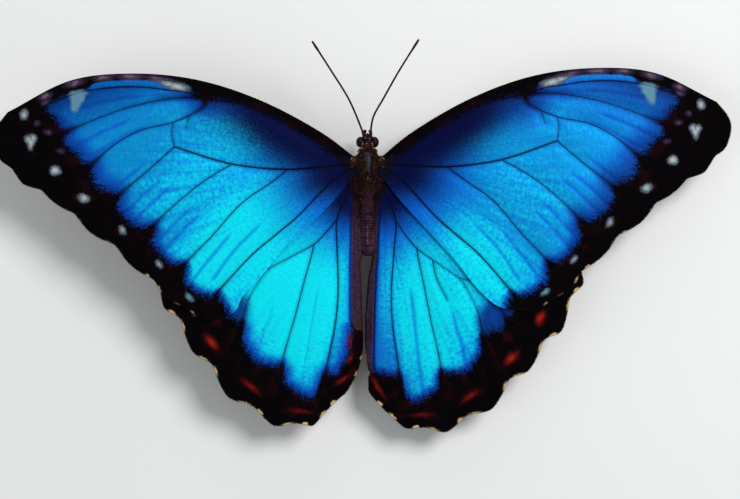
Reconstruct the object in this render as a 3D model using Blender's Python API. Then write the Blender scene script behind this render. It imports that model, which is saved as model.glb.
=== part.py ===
"""Blue morpho butterfly at life size, standing on four legs with its wings spread flat.

Each named part of the insect is one closed solid. Lengths in this file are in millimetres in the
body frame: x to the butterfly's right, y towards its head, z up from the surface it stands on,
with x = y = 0 at the middle of the thorax. The parts hang from one empty that carries that frame.
"""

import math
from dataclasses import dataclass

import bmesh
import bpy
import numpy as np
from mathutils import Vector

MM = 0.001                      # metres in a millimetre
BODY_PLACE = (0.45, 11.77, 0.0)  # middle of the thorax in the row frame

# Trunk
THORAX_HALF = (2.40, 3.20, 2.60)
THORAX_Z = 7.00
HEAD_CENTRE = (0.0, 4.76, 6.95)
HEAD_HALF = (1.32, 1.34, 1.45)
EYE_CENTRE = (1.20, 4.62, 6.95)
EYE_HALF = (0.76, 0.95, 1.08)
EYE_GAP = 0.12                  # clearance of the eye in its socket
ABDOMEN_FRONT_Y = -3.50
ABDOMEN_BACK_Y = -14.95
ABDOMEN_HALF = 1.45
ABDOMEN_Z = (6.90, 6.25)        # height of its middle line at the front and at the tip

# Wings
WING_THICK = 0.50
HINGE_Z = 8.00
NEST = 0.45                     # forewing above and hindwing below the common wing surface
ARCH = 1.20                     # rise of the span's middle
TAIL_DROOP = 2.40               # fall of the hindwing's outer edge
COSTA_DROOP = 0.50              # fall of the forewing's leading edge
SPAN = 57.0
FAN_ANGLE = 50.0                # degrees out from straight back where the outer pair values hold
FOLD_DROP = 0.93                # share of the hindwing's spare width that turns down
FOLD_KEEP = 0.25                # share of it that still reaches inwards

# Limbs
ANTENNA_R = (0.25, 0.25, 0.37)
PALP_R = (0.24, 0.30, 0.20)
TRUNK_TUBE_R = 0.20             # the coiled proboscis
FORELEG_R = (0.24, 0.30, 0.22)
FEMUR_R = (0.42, 0.30)
TIBIA_R = (0.29, 0.25)
TARSUS_R = (0.25, 0.25)
FOOT_Z = 0.09                   # height of the foot's middle line, less than its radius


@dataclass(frozen=True)
class Cell:
    """One scallop of a wing's outer edge: the vein end that closes it and its notch."""

    end: tuple
    notch: float
    place: float = 0.5
    power: float = 1.6


@dataclass(frozen=True)
class WingPlan:
    """A wing's outline round its hinge, spread flat: leading edge, scalloped edge, trailing edge."""

    costa: tuple
    cells: tuple
    inner: tuple
    along: int
    per_cell: tuple


@dataclass(frozen=True)
class Side:
    """How one side of the butterfly is held.

    A sweep turns a wing outwards about its hinge, and a stretch scales it. Each is a pair, for the
    part of the wing that points straight back and for the part past FAN_ANGLE, because a wing
    opens like a fan. The fold line is where the hindwing's trailing strip turns down, as (y, x).
    """

    name: str
    sign: int
    lift: float
    fore_hinge: tuple
    hind_hinge: tuple
    fore_sweep: tuple
    hind_sweep: tuple
    fore_stretch: tuple
    hind_stretch: tuple
    fold_line: tuple
    antenna: tuple


FOREWING = WingPlan(
    costa=((-0.35, 0.5), (4.5, 4.7), (14.9, 10.7), (25.3, 14.45), (35.8, 15.85), (46.1, 15.1),
           (56.8, 10.2)),
    cells=(Cell((58.5, 2.2), -1.85, 0.5, 1.0), Cell((54.9, -1.9), 0.52, 0.42),
           Cell((49.5, -5.4), 0.78), Cell((44.0, -10.4), 0.79, 0.46),
           Cell((37.4, -16.2), 1.0, 0.54), Cell((32.1, -21.8), 1.0, 0.6),
           Cell((25.7, -25.7), 0.2)),
    inner=((-0.35, -2.3), (2.7, -6.6), (7.8, -12.2), (12.1, -16.9), (16.3, -22.1), (19.7, -24.8),
           (25.7, -25.7)),
    along=11,
    per_cell=(4, 3, 4, 4, 4, 4, 4),
)

HINDWING = WingPlan(
    costa=((0.05, 0.9), (7.5, 2.2), (17.0, 0.2), (26.0, -4.8), (33.3, -12.2)),
    cells=(Cell((34.7, -17.0), 0.0), Cell((30.9, -25.3), 1.4, 0.35),
           Cell((25.2, -32.1), 1.6, 0.33), Cell((18.95, -38.8), 1.65, 0.34),
           Cell((11.05, -42.8), 1.25, 0.48), Cell((4.1, -42.1), 0.62, 0.54),
           Cell((-1.9, -35.7), -0.1), Cell((-3.7, -26.5), 0.2)),
    inner=((-0.3, -1.6), (-1.6, -6.0), (-2.5, -12.0), (-3.3, -19.5), (-3.7, -26.5)),
    along=11,
    per_cell=(2, 4, 4, 4, 4, 4, 4, 4),
)

RIGHT = Side(
    name="right", sign=1, lift=-2.0,
    fore_hinge=(2.80, 1.36), hind_hinge=(2.46, -2.38),
    fore_sweep=(0.0, 0.0), hind_sweep=(0.0, 0.0),
    fore_stretch=(1.0, 1.0), hind_stretch=(1.0, 1.0),
    fold_line=((-4.0, 2.25), (-15.0, 2.15), (-18.5, 1.3), (-25.0, 0.75), (-45.0, 0.9)),
    antenna=((0.58, 5.60, 8.00), (0.64, 7.2, 8.4), (1.05, 8.95, 9.0), (2.62, 11.7, 10.2),
             (5.3, 16.3, 12.3), (8.6, 21.4, 14.6)),
)
LEFT = Side(
    name="left", sign=-1, lift=2.5,
    fore_hinge=(2.65, 1.30), hind_hinge=(2.46, -2.38),
    fore_sweep=(-2.15, -2.15), hind_sweep=(2.6, 6.0),
    fore_stretch=(1.015, 1.015), hind_stretch=(1.0, 0.965),
    fold_line=((-4.0, 2.25), (-15.0, 2.15), (-18.5, 1.5), (-25.0, 1.25), (-45.0, 1.2)),
    antenna=((0.58, 5.60, 8.00), (1.15, 7.15, 8.4), (3.13, 11.65, 10.2), (6.2, 16.5, 12.4),
             (9.25, 21.1, 14.6)),
)

FORELEG = ((0.95, 1.3, 4.20), (1.15, 2.9, 4.15), (1.05, 4.2, 4.75), (0.95, 4.7, 5.05))
MIDLEG = {
    "femur": ((1.60, 0.5, 4.50), (3.9, 1.7, 5.75), (6.2, 2.9, 6.05)),
    "tibia": ((6.5, 3.05, 5.8), (7.8, 3.7, 3.6), (8.75, 4.2, 1.35)),
    "tarsus": ((8.87, 4.27, 1.02), (9.1, 4.4, 0.5), (9.8, 4.8, FOOT_Z), (12.6, 6.3, FOOT_Z)),
}
HINDLEG = {
    "femur": ((1.30, -1.7, 4.45), (2.7, -4.3, 5.35), (4.1, -6.8, 5.6)),
    "tibia": ((4.25, -7.15, 5.4), (5.0, -9.8, 3.5), (5.6, -12.2, 1.35)),
    "tarsus": ((5.67, -12.5, 1.02), (5.8, -13.0, 0.5), (6.0, -13.9, FOOT_Z), (6.8, -18.0, FOOT_Z)),
}

COLOURS = {
    "black_cuticle": ((0.012, 0.011, 0.013), 0.45),
    "eye": ((0.02, 0.012, 0.01), 0.12),
    "brown_coat": ((0.055, 0.035, 0.045), 0.85),
    "antenna": ((0.02, 0.018, 0.018), 0.5),
    "morpho_blue": ((0.0, 0.22, 0.75), 0.35),
}


# ---------------------------------------------------------------- curves and surfaces

def smooth_path(points, count):
    """count + 1 points, evenly spaced, on a smooth curve through the given points."""
    pts = np.array(points, float)
    ends = np.vstack([2 * pts[0] - pts[1], pts, 2 * pts[-1] - pts[-2]])
    dense = []
    for i in range(1, len(ends) - 2):
        p0, p1, p2, p3 = ends[i - 1:i + 3]
        k1, k0, k2 = (max(np.linalg.norm(b - a), 1e-9) ** 0.5
                      for a, b in ((p1, p2), (p0, p1), (p2, p3)))
        m1 = k1 * ((p1 - p0) / k0 - (p2 - p0) / (k0 + k1) + (p2 - p1) / k1)
        m2 = k1 * ((p2 - p1) / k1 - (p3 - p1) / (k1 + k2) + (p3 - p2) / k2)
        for t in np.linspace(0, 1, 24, endpoint=False):
            dense.append((2 * t**3 - 3 * t**2 + 1) * p1 + (t**3 - 2 * t**2 + t) * m1
                         + (3 * t**2 - 2 * t**3) * p2 + (t**3 - t**2) * m2)
    dense = np.array(dense + [pts[-1]])
    reach = np.concatenate([[0], np.cumsum(np.linalg.norm(np.diff(dense, axis=0), axis=1))])
    where = np.linspace(0, reach[-1], count + 1)
    return np.column_stack([np.interp(where, reach, dense[:, k]) for k in range(pts.shape[1])])


def outer_edge(start, cells, per_cell):
    """The scalloped edge from start through each cell's vein end."""
    points, a = [np.array(start, float)], np.array(start, float)
    for cell, count in zip(cells, per_cell):
        b = np.array(cell.end, float)
        inward = np.array([(b - a)[1], -(b - a)[0]]) / np.linalg.norm(b - a)
        for k in range(1, count + 1):
            s = k / count
            near = s / cell.place if s < cell.place else (1 - s) / (1 - cell.place)
            if cell.notch < 0:
                near = math.sin(math.pi * s)
            points.append(a + s * (b - a) + inward * cell.notch * max(near, 0.0) ** cell.power)
        a = b
    return np.array(points)


def spread_sheet(plan):
    """The flat wing as a grid: rows run from the hinge to the outer edge, columns across it."""
    edge = outer_edge(plan.costa[-1], plan.cells, plan.per_cell)
    front = smooth_path(plan.costa, plan.along)
    back = smooth_path(plan.inner, plan.along)
    u = np.linspace(0, 1, plan.along + 1)[:, None, None]
    v = np.concatenate([[0], np.cumsum(np.linalg.norm(np.diff(edge, axis=0), axis=1))])
    v = (v / v[-1])[None, :, None]
    root = front[0] + v * (back[0] - front[0])
    grid = ((1 - v) * front[:, None] + v * back[:, None] + (1 - u) * root + u * edge[None]
            - (1 - u) * (1 - v) * front[0] - (1 - u) * v * back[0]
            - u * (1 - v) * front[-1] - u * v * back[-1])
    return grid


def wing_height(x, y, side):
    """Height of the wings' common surface at x out from the body's middle."""
    s = np.maximum(x - side.fore_hinge[0], 0.0)
    arch = ARCH * np.sin(np.pi * np.clip(s / SPAN, 0, 1))
    tail = TAIL_DROOP * np.clip((-2.0 - y) / 40.0, 0, 1) ** 1.5
    costa = COSTA_DROOP * np.clip((y - 6.0) / 12.0, 0, 1) ** 2
    return HINGE_Z + s * math.tan(math.radians(side.lift)) + arch - tail - costa


def opened(grid, sweep, stretch):
    """The flat wing turned outwards about its hinge and scaled, by the pairs that Side explains."""
    out = np.degrees(np.arctan2(grid[..., 0], -grid[..., 1]))
    share = np.clip(out / FAN_ANGLE, 0, 1)
    angle = np.radians(sweep[0] + (sweep[1] - sweep[0]) * share)
    scale = stretch[0] + (stretch[1] - stretch[0]) * share
    x = grid[..., 0] * np.cos(angle) - grid[..., 1] * np.sin(angle)
    y = grid[..., 0] * np.sin(angle) + grid[..., 1] * np.cos(angle)
    return np.stack([x * scale, y * scale], axis=-1)


def folded(points, side):
    """The hindwing's trailing strip turned down along the abdomen."""
    line = np.array(side.fold_line)[::-1]
    spare = np.interp(points[..., 1], line[:, 0], line[:, 1]) - points[..., 0]
    ramp = np.clip((-3.2 - points[..., 1]) / 4.0, 0, 1)
    spare = np.maximum(spare, 0) * ramp
    out = points.copy()
    out[..., 0] += spare * (1 - FOLD_KEEP)
    out[..., 2] -= spare * FOLD_DROP
    return out


# ---------------------------------------------------------------- meshes

def finish_object(name, bm, origin, slot, parent, smooth_angle=40):
    """Makes the named object from a mesh in the body frame, with its own material."""
    bmesh.ops.recalc_face_normals(bm, faces=bm.faces)
    mesh = bpy.data.meshes.new(name)
    bmesh.ops.scale(bm, vec=(MM, MM, MM), verts=bm.verts)
    bmesh.ops.translate(bm, vec=-Vector(origin) * MM, verts=bm.verts)
    bm.to_mesh(mesh)
    bm.free()
    obj = bpy.data.objects.new(name, mesh)
    bpy.context.collection.objects.link(obj)
    obj.parent = parent
    obj.location = Vector(origin) * MM
    mesh.shade_smooth()
    mesh.set_sharp_from_angle(angle=math.radians(smooth_angle))
    mesh.materials.append(make_material(name, slot))
    return obj


def make_material(name, slot):
    """A Principled material in the colour and roughness of one of the insect's surfaces."""
    colour, roughness = COLOURS[slot]
    material = bpy.data.materials.new(name)
    material.use_nodes = True
    shader = material.node_tree.nodes["Principled BSDF"]
    shader.inputs["Base Color"].default_value = (*colour, 1.0)
    shader.inputs["Roughness"].default_value = roughness
    shader.inputs["Metallic"].default_value = 0.4 if slot == "morpho_blue" else 0.0
    return material


def skin_rings(bm, rings):
    """Joins rings of points into one closed tube with capped ends."""
    rows = [[bm.verts.new(p) for p in ring] for ring in rings]
    for a, b in zip(rows, rows[1:]):
        for k in range(len(a)):
            m = (k + 1) % len(a)
            bm.faces.new((a[k], a[m], b[m], b[k]))
    bm.faces.new(rows[0][::-1])
    bm.faces.new(rows[-1])


def round_body(stations, sides):
    """A closed body from (y, z, half width, half height) stations along the trunk."""
    bm = bmesh.new()
    rings = []
    for y, z, a, b in stations:
        rings.append([(a * math.cos(t), y, z + b * math.sin(t))
                      for t in np.linspace(0, 2 * math.pi, sides, endpoint=False)])
    skin_rings(bm, rings)
    return bm


def egg(centre, half, columns=16, rows=10):
    """An ellipsoid with its poles along y, closed by small flats."""
    stations = []
    for t in np.linspace(0.10, math.pi - 0.10, rows):
        stations.append((centre[1] - half[1] * math.cos(t), centre[2],
                         half[0] * math.sin(t), half[2] * math.sin(t)))
    bm = round_body(stations, columns)
    bmesh.ops.translate(bm, vec=(centre[0], 0, 0), verts=bm.verts)
    return bm


def tube(path, radii, sides=8, floor=None):
    """A round limb with domed ends along a path. A floor presses its underside flat."""
    path = np.array(path, float)
    n = len(path)
    knots = np.linspace(0, n - 1, len(radii))
    radius = np.interp(np.arange(n), knots, radii)
    tangent = np.gradient(path, axis=0)
    tangent /= np.linalg.norm(tangent, axis=1)[:, None]
    stations = [(path[0] - tangent[0] * radius[0] * 0.45, tangent[0], radius[0] * 0.55)]
    stations += list(zip(path, tangent, radius))
    stations += [(path[-1] + tangent[-1] * radius[-1] * 0.45, tangent[-1], radius[-1] * 0.55)]
    across = np.cross(tangent[0], (0.0, 0.0, 1.0))
    rings = []
    for centre, t, r in stations:
        across = across - t * np.dot(across, t)
        across /= np.linalg.norm(across)
        up = np.cross(across, t)
        ring = []
        for a in np.linspace(0, 2 * math.pi, sides, endpoint=False) + math.pi / sides:
            point = centre + r * (math.cos(a) * across + math.sin(a) * up)
            if floor is not None:
                point[2] = max(point[2], floor)
            ring.append(point)
        rings.append(ring)
    bm = bmesh.new()
    skin_rings(bm, rings)
    return bm


def wing(name, plan, side, hinge, sweep, stretch, nest, parent):
    """A spread wing: the flat sheet opened, laid on the wing surface, mirrored and thickened."""
    flat = opened(spread_sheet(plan), sweep, stretch) + np.array(hinge)
    height = wing_height(flat[..., 0], flat[..., 1], side) + nest
    points = np.concatenate([flat, height[..., None]], axis=2)
    if nest < 0:
        points = folded(points, side)
    points[..., 0] *= side.sign
    bm = bmesh.new()
    verts = [[bm.verts.new(p) for p in row] for row in points]
    for a, b in zip(verts, verts[1:]):
        for k in range(len(a) - 1):
            bm.faces.new((a[k], b[k], b[k + 1], a[k + 1]))
    origin = (side.sign * hinge[0], hinge[1], HINGE_Z + nest)
    obj = finish_object(name, bm, origin, "morpho_blue", parent, 60)
    thick = obj.modifiers.new("plate", "SOLIDIFY")
    thick.thickness = WING_THICK * MM
    thick.offset = 0.0
    thick.use_rim = True
    return obj


# ---------------------------------------------------------------- parts

def make_thorax(parent):
    """The egg-shaped thorax, a little flattened in front and behind."""
    stations = []
    for t in (-0.985, -0.93, -0.82, -0.64, -0.4, -0.13, 0.13, 0.4, 0.64, 0.82, 0.93, 0.985):
        girth = (1 - abs(t) ** 2.6) ** 0.4545
        stations.append((t * THORAX_HALF[1], THORAX_Z, THORAX_HALF[0] * girth,
                         THORAX_HALF[2] * girth))
    bm = round_body(stations, 20)
    finish_object("thorax", bm, (0, 0, THORAX_Z), "brown_coat", parent)


def make_abdomen(parent):
    """The long abdomen: a narrow waist, eight shallow rings and a rounded tip."""
    length = ABDOMEN_FRONT_Y - ABDOMEN_BACK_Y
    stations = []
    for t in (0.0, 0.035, 0.09, 0.17, 0.27, 0.38, 0.5, 0.62, 0.73, 0.82, 0.89, 0.945, 0.98, 1.0):
        swell = min(1.0, 0.62 + 0.38 * math.sin(min(t / 0.27, 1.0) * math.pi / 2))
        taper = math.sqrt(max(1 - max((t - 0.5) / 0.52, 0.0) ** 4.0, 0.0))
        front = 0.72 if t == 0 else 1.0
        z = ABDOMEN_Z[0] + (ABDOMEN_Z[1] - ABDOMEN_Z[0]) * t
        r = ABDOMEN_HALF * swell * taper * front
        stations.append((ABDOMEN_FRONT_Y - t * length, z, r, r * 1.02))
    bm = round_body(stations, 16)
    finish_object("abdomen", bm, (0, ABDOMEN_FRONT_Y, ABDOMEN_Z[0]), "brown_coat", parent)


def make_head(parent):
    """The head with a socket for each eye."""
    head = finish_object("head", egg(HEAD_CENTRE, HEAD_HALF, 18, 10), HEAD_CENTRE, "brown_coat",
                         parent)
    for sign in (-1, 1):
        socket = [h + EYE_GAP for h in EYE_HALF]
        centre = (sign * EYE_CENTRE[0], EYE_CENTRE[1], EYE_CENTRE[2])
        cutter = finish_object(f"socket_cutter_{sign}", egg(centre, socket, 12, 8), centre,
                               "brown_coat", parent)
        cutter.hide_render = True
        cutter.display_type = "WIRE"
        cut = head.modifiers.new("socket", "BOOLEAN")
        cut.operation = "DIFFERENCE"
        cut.solver = "EXACT"
        cut.object = cutter


def make_eye(side, parent):
    """A bulging compound eye."""
    centre = (side.sign * EYE_CENTRE[0], EYE_CENTRE[1], EYE_CENTRE[2])
    finish_object(f"eye_{side.name}", egg(centre, EYE_HALF, 12, 8), centre, "eye", parent)


def make_limb(name, points, radii, side, slot, parent, count, floor=None, sides=8):
    """A tube limb of one side, from points given for the right side."""
    path = smooth_path(points, count)
    path[:, 0] *= side.sign
    bm = tube(path, radii, sides, floor)
    finish_object(name, bm, tuple(path[0]), slot, parent, 50)


def make_palp(side, parent):
    """The upturned palp in front of the face."""
    points = ((0.50, 5.70, 5.25), (0.52, 6.35, 5.8), (0.46, 6.62, 6.8), (0.40, 6.58, 7.4),
              (0.36, 6.55, 7.72))
    make_limb(f"palp_{side.name}", points, PALP_R, side, "brown_coat", parent, 7, sides=6)


def make_proboscis(parent):
    """The coiled tongue under the head, wound in the body's middle plane."""
    centre_y, centre_z, inner, outer, turns, steps = 5.2, 3.95, 0.38, 1.10, 1.35, 20
    path = []
    for k in range(steps + 1):
        angle = math.radians(62) - 2 * math.pi * turns * (1 - k / steps)
        r = inner + (outer - inner) * k / steps
        path.append((0.0, centre_y + r * math.cos(angle), centre_z + r * math.sin(angle)))
    bm = tube(path, (TRUNK_TUBE_R,), 6)
    finish_object("proboscis", bm, path[0], "black_cuticle", parent, 50)


def make_leg(name, lengths, side, parent):
    """A walking leg in three lengths, the last one lying flat on the floor."""
    for part, radii, count, floor, sides in (("femur", FEMUR_R, 4, None, 6),
                                             ("tibia", TIBIA_R, 4, None, 6),
                                             ("tarsus", TARSUS_R, 6, 0.0, 8)):
        make_limb(f"{name}_{side.name}_{part}", lengths[part], radii, side, "brown_coat", parent,
                  count, floor, sides)


def build():
    """Clears the scene and models the butterfly."""
    for old in list(bpy.data.objects):
        bpy.data.objects.remove(old, do_unlink=True)
    body = bpy.data.objects.new("butterfly", None)
    bpy.context.collection.objects.link(body)
    body.location = Vector(BODY_PLACE) * MM
    make_thorax(body)
    make_abdomen(body)
    make_head(body)
    make_proboscis(body)
    for side in (LEFT, RIGHT):
        make_eye(side, body)
        make_palp(side, body)
        make_limb(f"antenna_{side.name}", side.antenna, ANTENNA_R, side, "antenna", body, 10)
        make_limb(f"foreleg_{side.name}", FORELEG, FORELEG_R, side, "brown_coat", body, 6, sides=6)
        make_leg("midleg", MIDLEG, side, body)
        make_leg("hindleg", HINDLEG, side, body)
        wing(f"forewing_{side.name}", FOREWING, side, side.fore_hinge, side.fore_sweep,
             side.fore_stretch, NEST, body)
        wing(f"hindwing_{side.name}", HINDWING, side, side.hind_hinge, side.hind_sweep,
             side.hind_stretch, -NEST, body)


build()
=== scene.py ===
"""The looks of a life-size blue morpho butterfly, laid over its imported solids.

The butterfly stands on four legs with its wings spread. This script replaces the plain solids by
fine skins: scaled wings with raised veins, fringes, a haired body, faceted eyes, ringed antennae,
spiny legs and a coiled tongue. Sizes are in millimetres in the body's own frame, with x to the
butterfly's right, y towards the head and z up from the floor, and become metres on the way into
a mesh.
"""

import logging
import math
from dataclasses import dataclass, field
from enum import Enum
from functools import cache

import bpy
import numpy as np
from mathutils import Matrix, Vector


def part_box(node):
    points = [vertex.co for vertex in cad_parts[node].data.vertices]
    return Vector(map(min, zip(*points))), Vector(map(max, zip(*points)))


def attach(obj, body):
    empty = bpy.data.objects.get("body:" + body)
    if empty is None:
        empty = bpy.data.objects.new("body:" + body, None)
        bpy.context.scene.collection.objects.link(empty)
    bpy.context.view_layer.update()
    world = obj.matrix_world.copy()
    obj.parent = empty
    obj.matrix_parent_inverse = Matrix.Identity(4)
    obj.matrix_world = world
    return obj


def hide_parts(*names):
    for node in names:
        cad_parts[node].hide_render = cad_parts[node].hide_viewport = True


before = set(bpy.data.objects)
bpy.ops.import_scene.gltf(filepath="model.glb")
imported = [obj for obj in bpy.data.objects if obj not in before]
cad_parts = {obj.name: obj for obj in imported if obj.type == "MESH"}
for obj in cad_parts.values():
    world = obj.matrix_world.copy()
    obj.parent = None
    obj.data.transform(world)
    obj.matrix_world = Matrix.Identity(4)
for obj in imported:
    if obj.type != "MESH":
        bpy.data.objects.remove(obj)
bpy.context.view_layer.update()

logging.basicConfig(level=logging.INFO, format="%(message)s")
log = logging.getLogger("butterfly")

MM = 0.001
TURN = 2 * math.pi
BAKE_MAP = "OFBake"
# How large a patch of the bake map each hair or scale takes, as a share of the map.
BAKE_PATCH = 0.003
ROWS_MAP = "ScaleRows"
# How far the wing's rows of scales spread for each radian round the hinge, in millimetres.
ROWS_PER_RADIAN = 30.0
# The depth in a marking that a piece doesn't have.
ABSENT = -9.0
Colour = tuple[float, float, float]


# ------------------------------------------------------------------ numbers and curves

def smooth_path(points: tuple, count: int) -> np.ndarray:
    """Runs a smooth curve through points.

    Args:
        points: The places that the curve passes, in order.
        count: How many even steps the curve is cut into.

    Returns:
        count + 1 points, evenly spaced along the curve.
    """
    pts = np.array(points, float)
    ends = np.vstack([2 * pts[0] - pts[1], pts, 2 * pts[-1] - pts[-2]])
    dense = []
    for i in range(1, len(ends) - 2):
        p0, p1, p2, p3 = ends[i - 1:i + 3]
        k1, k0, k2 = (max(np.linalg.norm(b - a), 1e-9) ** 0.5
                      for a, b in ((p1, p2), (p0, p1), (p2, p3)))
        m1 = k1 * ((p1 - p0) / k0 - (p2 - p0) / (k0 + k1) + (p2 - p1) / k1)
        m2 = k1 * ((p2 - p1) / k1 - (p3 - p1) / (k1 + k2) + (p3 - p2) / k2)
        for t in np.linspace(0, 1, 24, endpoint=False):
            dense.append((2 * t**3 - 3 * t**2 + 1) * p1 + (t**3 - 2 * t**2 + t) * m1
                         + (3 * t**2 - 2 * t**3) * p2 + (t**3 - t**2) * m2)
    return respace(np.array(dense + [pts[-1]]), count)


def arc_lengths(line: np.ndarray) -> np.ndarray:
    """The distance along a line at each of its points, from 0."""
    steps = np.linalg.norm(np.diff(line, axis=0), axis=1)
    return np.concatenate([[0.0], np.cumsum(steps)])


def read_line(line: np.ndarray, where: np.ndarray, steps: np.ndarray | None = None) -> np.ndarray:
    """Reads a line, or any other rows of values, between its own places.

    Args:
        line: The values, one place a row.
        where: Where the line is read, as shares from 0 to 1, or in the measure of the steps.
        steps: Where each row lies. They are evenly spaced if it is left out.

    Returns:
        The values there, one place a row.
    """
    steps = np.linspace(0, 1, len(line)) if steps is None else steps
    return np.column_stack([np.interp(where, steps, column) for column in line.T])


def respace(line: np.ndarray, count: int) -> np.ndarray:
    """The same line with count even steps."""
    reach = arc_lengths(line)
    return read_line(line, np.linspace(0, reach[-1], count + 1), reach)


def soften(line: np.ndarray, times: int) -> np.ndarray:
    """Rounds a line's corners a little, that many times over, and keeps its two ends.

    Args:
        line: Its places in order.
        times: How often it is rounded.

    Returns:
        The same line, changed in place.
    """
    for _ in range(times):
        line[1:-1] = (line[:-2] + 2 * line[1:-1] + line[2:]) / 4
    return line


def quarter_turn(flat: np.ndarray) -> np.ndarray:
    """Flat directions turned a quarter to the left."""
    return np.column_stack([-flat[:, 1], flat[:, 0]])


def ease(value: np.ndarray, low: float, high: float) -> np.ndarray:
    """A soft step from 0 at low to 1 at high, which may lie below low."""
    t = np.clip((value - low) / (high - low), 0, 1)
    return t * t * (3 - 2 * t)


def unit(vectors: np.ndarray) -> np.ndarray:
    """The vectors at length 1."""
    return vectors / np.maximum(np.linalg.norm(vectors, axis=-1, keepdims=True), 1e-12)


def nearest_on_line(points: np.ndarray, line: np.ndarray) -> tuple[np.ndarray, np.ndarray]:
    """Finds how near each point lies to a line.

    Args:
        points: Flat places, one a row.
        line: The line's own places in order.

    Returns:
        The distance to the line, and how far along the line the nearest place is.
    """
    best = np.full(len(points), 1e9)
    along = np.zeros(len(points))
    reach = arc_lengths(line)
    for a, b, start in zip(line, line[1:], reach):
        run = b - a
        length = max(float(np.linalg.norm(run)), 1e-9)
        share = np.clip((points - a) @ run / length**2, 0, 1)
        gap = np.linalg.norm(points - a - share[:, None] * run, axis=1)
        closer = gap < best
        best[closer] = gap[closer]
        along[closer] = start + share[closer] * length
    return best, along


def depth_inside(points: np.ndarray, ring: np.ndarray) -> np.ndarray:
    """How deep each point lies inside a closed outline, below 0 outside it.

    Args:
        points: Flat places, one a row.
        ring: The outline's places in order.

    Returns:
        The distance to the outline, below 0 outside it.
    """
    closed = np.vstack([ring, ring[:1]])
    gap, _ = nearest_on_line(points, closed)
    crossings = np.zeros(len(points), int)
    for a, b in zip(closed, closed[1:]):
        spans = (a[1] > points[:, 1]) != (b[1] > points[:, 1])
        rise = b[1] - a[1] if b[1] != a[1] else 1e-9
        cut = a[0] + (points[:, 1] - a[1]) * (b[0] - a[0]) / rise
        crossings += spans & (points[:, 0] < cut)
    return np.where(crossings % 2 == 1, gap, -gap)


@dataclass(frozen=True)
class Spot:
    """An oval marking: its middle, half sizes and turn from the x direction."""

    x: float
    y: float
    half_long: float
    half_wide: float
    turn: float = 0.0

    def depth(self, points: np.ndarray) -> np.ndarray:
        """About how deep each point lies inside the oval, below 0 outside it."""
        return (1 - self.share(points)) * min(self.half_long, self.half_wide)

    def share(self, points: np.ndarray) -> np.ndarray:
        """How far out each point lies: 0 in the middle and 1 on the rim.

        Args:
            points: Flat places, one a row.

        Returns:
            The share of the way to the rim.
        """
        c, s = math.cos(math.radians(self.turn)), math.sin(math.radians(self.turn))
        dx, dy = points[:, 0] - self.x, points[:, 1] - self.y
        return np.hypot((dx * c + dy * s) / self.half_long, (dy * c - dx * s) / self.half_wide)


def deepest(points: np.ndarray, spots: tuple) -> np.ndarray:
    """How deep each point lies in the nearest of several ovals.

    Args:
        points: Flat places, one a row.
        spots: The ovals, or none.

    Returns:
        The depth in millimetres, below 0 outside them all.
    """
    if not spots:
        return np.full(len(points), ABSENT)
    return np.max([spot.depth(points) for spot in spots], axis=0)


# ------------------------------------------------------------------ meshes

def body_origin() -> np.ndarray:
    """Where the body frame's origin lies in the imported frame, in metres: under the thorax."""
    low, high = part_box("thorax")
    return np.array([(low.x + high.x) / 2, (low.y + high.y) / 2, 0.0])


ORIGIN = body_origin()


def deselect() -> None:
    """Leaves nothing selected and Blender in object mode."""
    if bpy.context.mode != "OBJECT":
        bpy.ops.object.mode_set(mode="OBJECT")
    bpy.ops.object.select_all(action="DESELECT")


def pick(piece: bpy.types.Object) -> None:
    """Selects one piece alone and makes it the active one."""
    deselect()
    piece.select_set(True)
    bpy.context.view_layer.objects.active = piece


def place_vertices(piece: bpy.types.Object, points: np.ndarray) -> None:
    """Puts a mesh's vertices at places given in millimetres in the body frame."""
    spots = points.reshape(-1, 3) * MM + ORIGIN
    piece.data.vertices.foreach_set("co", spots.astype(np.float32).ravel())
    piece.data.update()


def unit_places(piece: bpy.types.Object) -> np.ndarray:
    """A new primitive's own vertex places."""
    flat = np.empty(len(piece.data.vertices) * 3, np.float32)
    piece.data.vertices.foreach_get("co", flat)
    return flat.reshape(-1, 3).astype(float)


def add_ball(name: str, segments: int, rings: int) -> bpy.types.Object:
    """Adds a unit ball primitive with closed poles on z.

    Args:
        name: The piece's name.
        segments: Faces round z.
        rings: Faces from pole to pole.

    Returns:
        The new ball.
    """
    deselect()
    bpy.ops.mesh.primitive_uv_sphere_add(segments=segments, ring_count=rings, radius=1)
    piece = bpy.context.object
    piece.name = name
    return piece


def ball_angles(piece: bpy.types.Object) -> tuple[np.ndarray, np.ndarray]:
    """A unit ball's vertices as shares from pole to pole and as turns round z.

    Args:
        piece: The unit ball.

    Returns:
        The shares, from 0 to 1, and the turns.
    """
    places = unit_places(piece)
    share = np.arccos(np.clip(-places[:, 2], -1, 1)) / math.pi
    return share, np.arctan2(places[:, 1], places[:, 0])


def outward(piece: bpy.types.Object) -> None:
    """Turns a closed mesh's faces to point out."""
    pick(piece)
    bpy.ops.object.mode_set(mode="EDIT")
    bpy.ops.mesh.select_all(action="SELECT")
    bpy.ops.mesh.normals_make_consistent(inside=False)
    bpy.ops.object.mode_set(mode="OBJECT")


def smooth_faces(piece: bpy.types.Object, angle: float) -> None:
    """Shades a mesh smooth up to that angle between its faces."""
    pick(piece)
    bpy.ops.object.shade_smooth_by_angle(angle=math.radians(angle))


def join(name: str, pieces: list) -> bpy.types.Object:
    """Joins several pieces into one of that name.

    Args:
        name: The name of the whole.
        pieces: One piece or more.

    Returns:
        The whole.
    """
    pick(pieces[0])
    for piece in pieces:
        piece.select_set(True)
    if len(pieces) > 1:
        bpy.ops.object.join()
    pieces[0].name = pieces[0].data.name = name
    return pieces[0]


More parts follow.
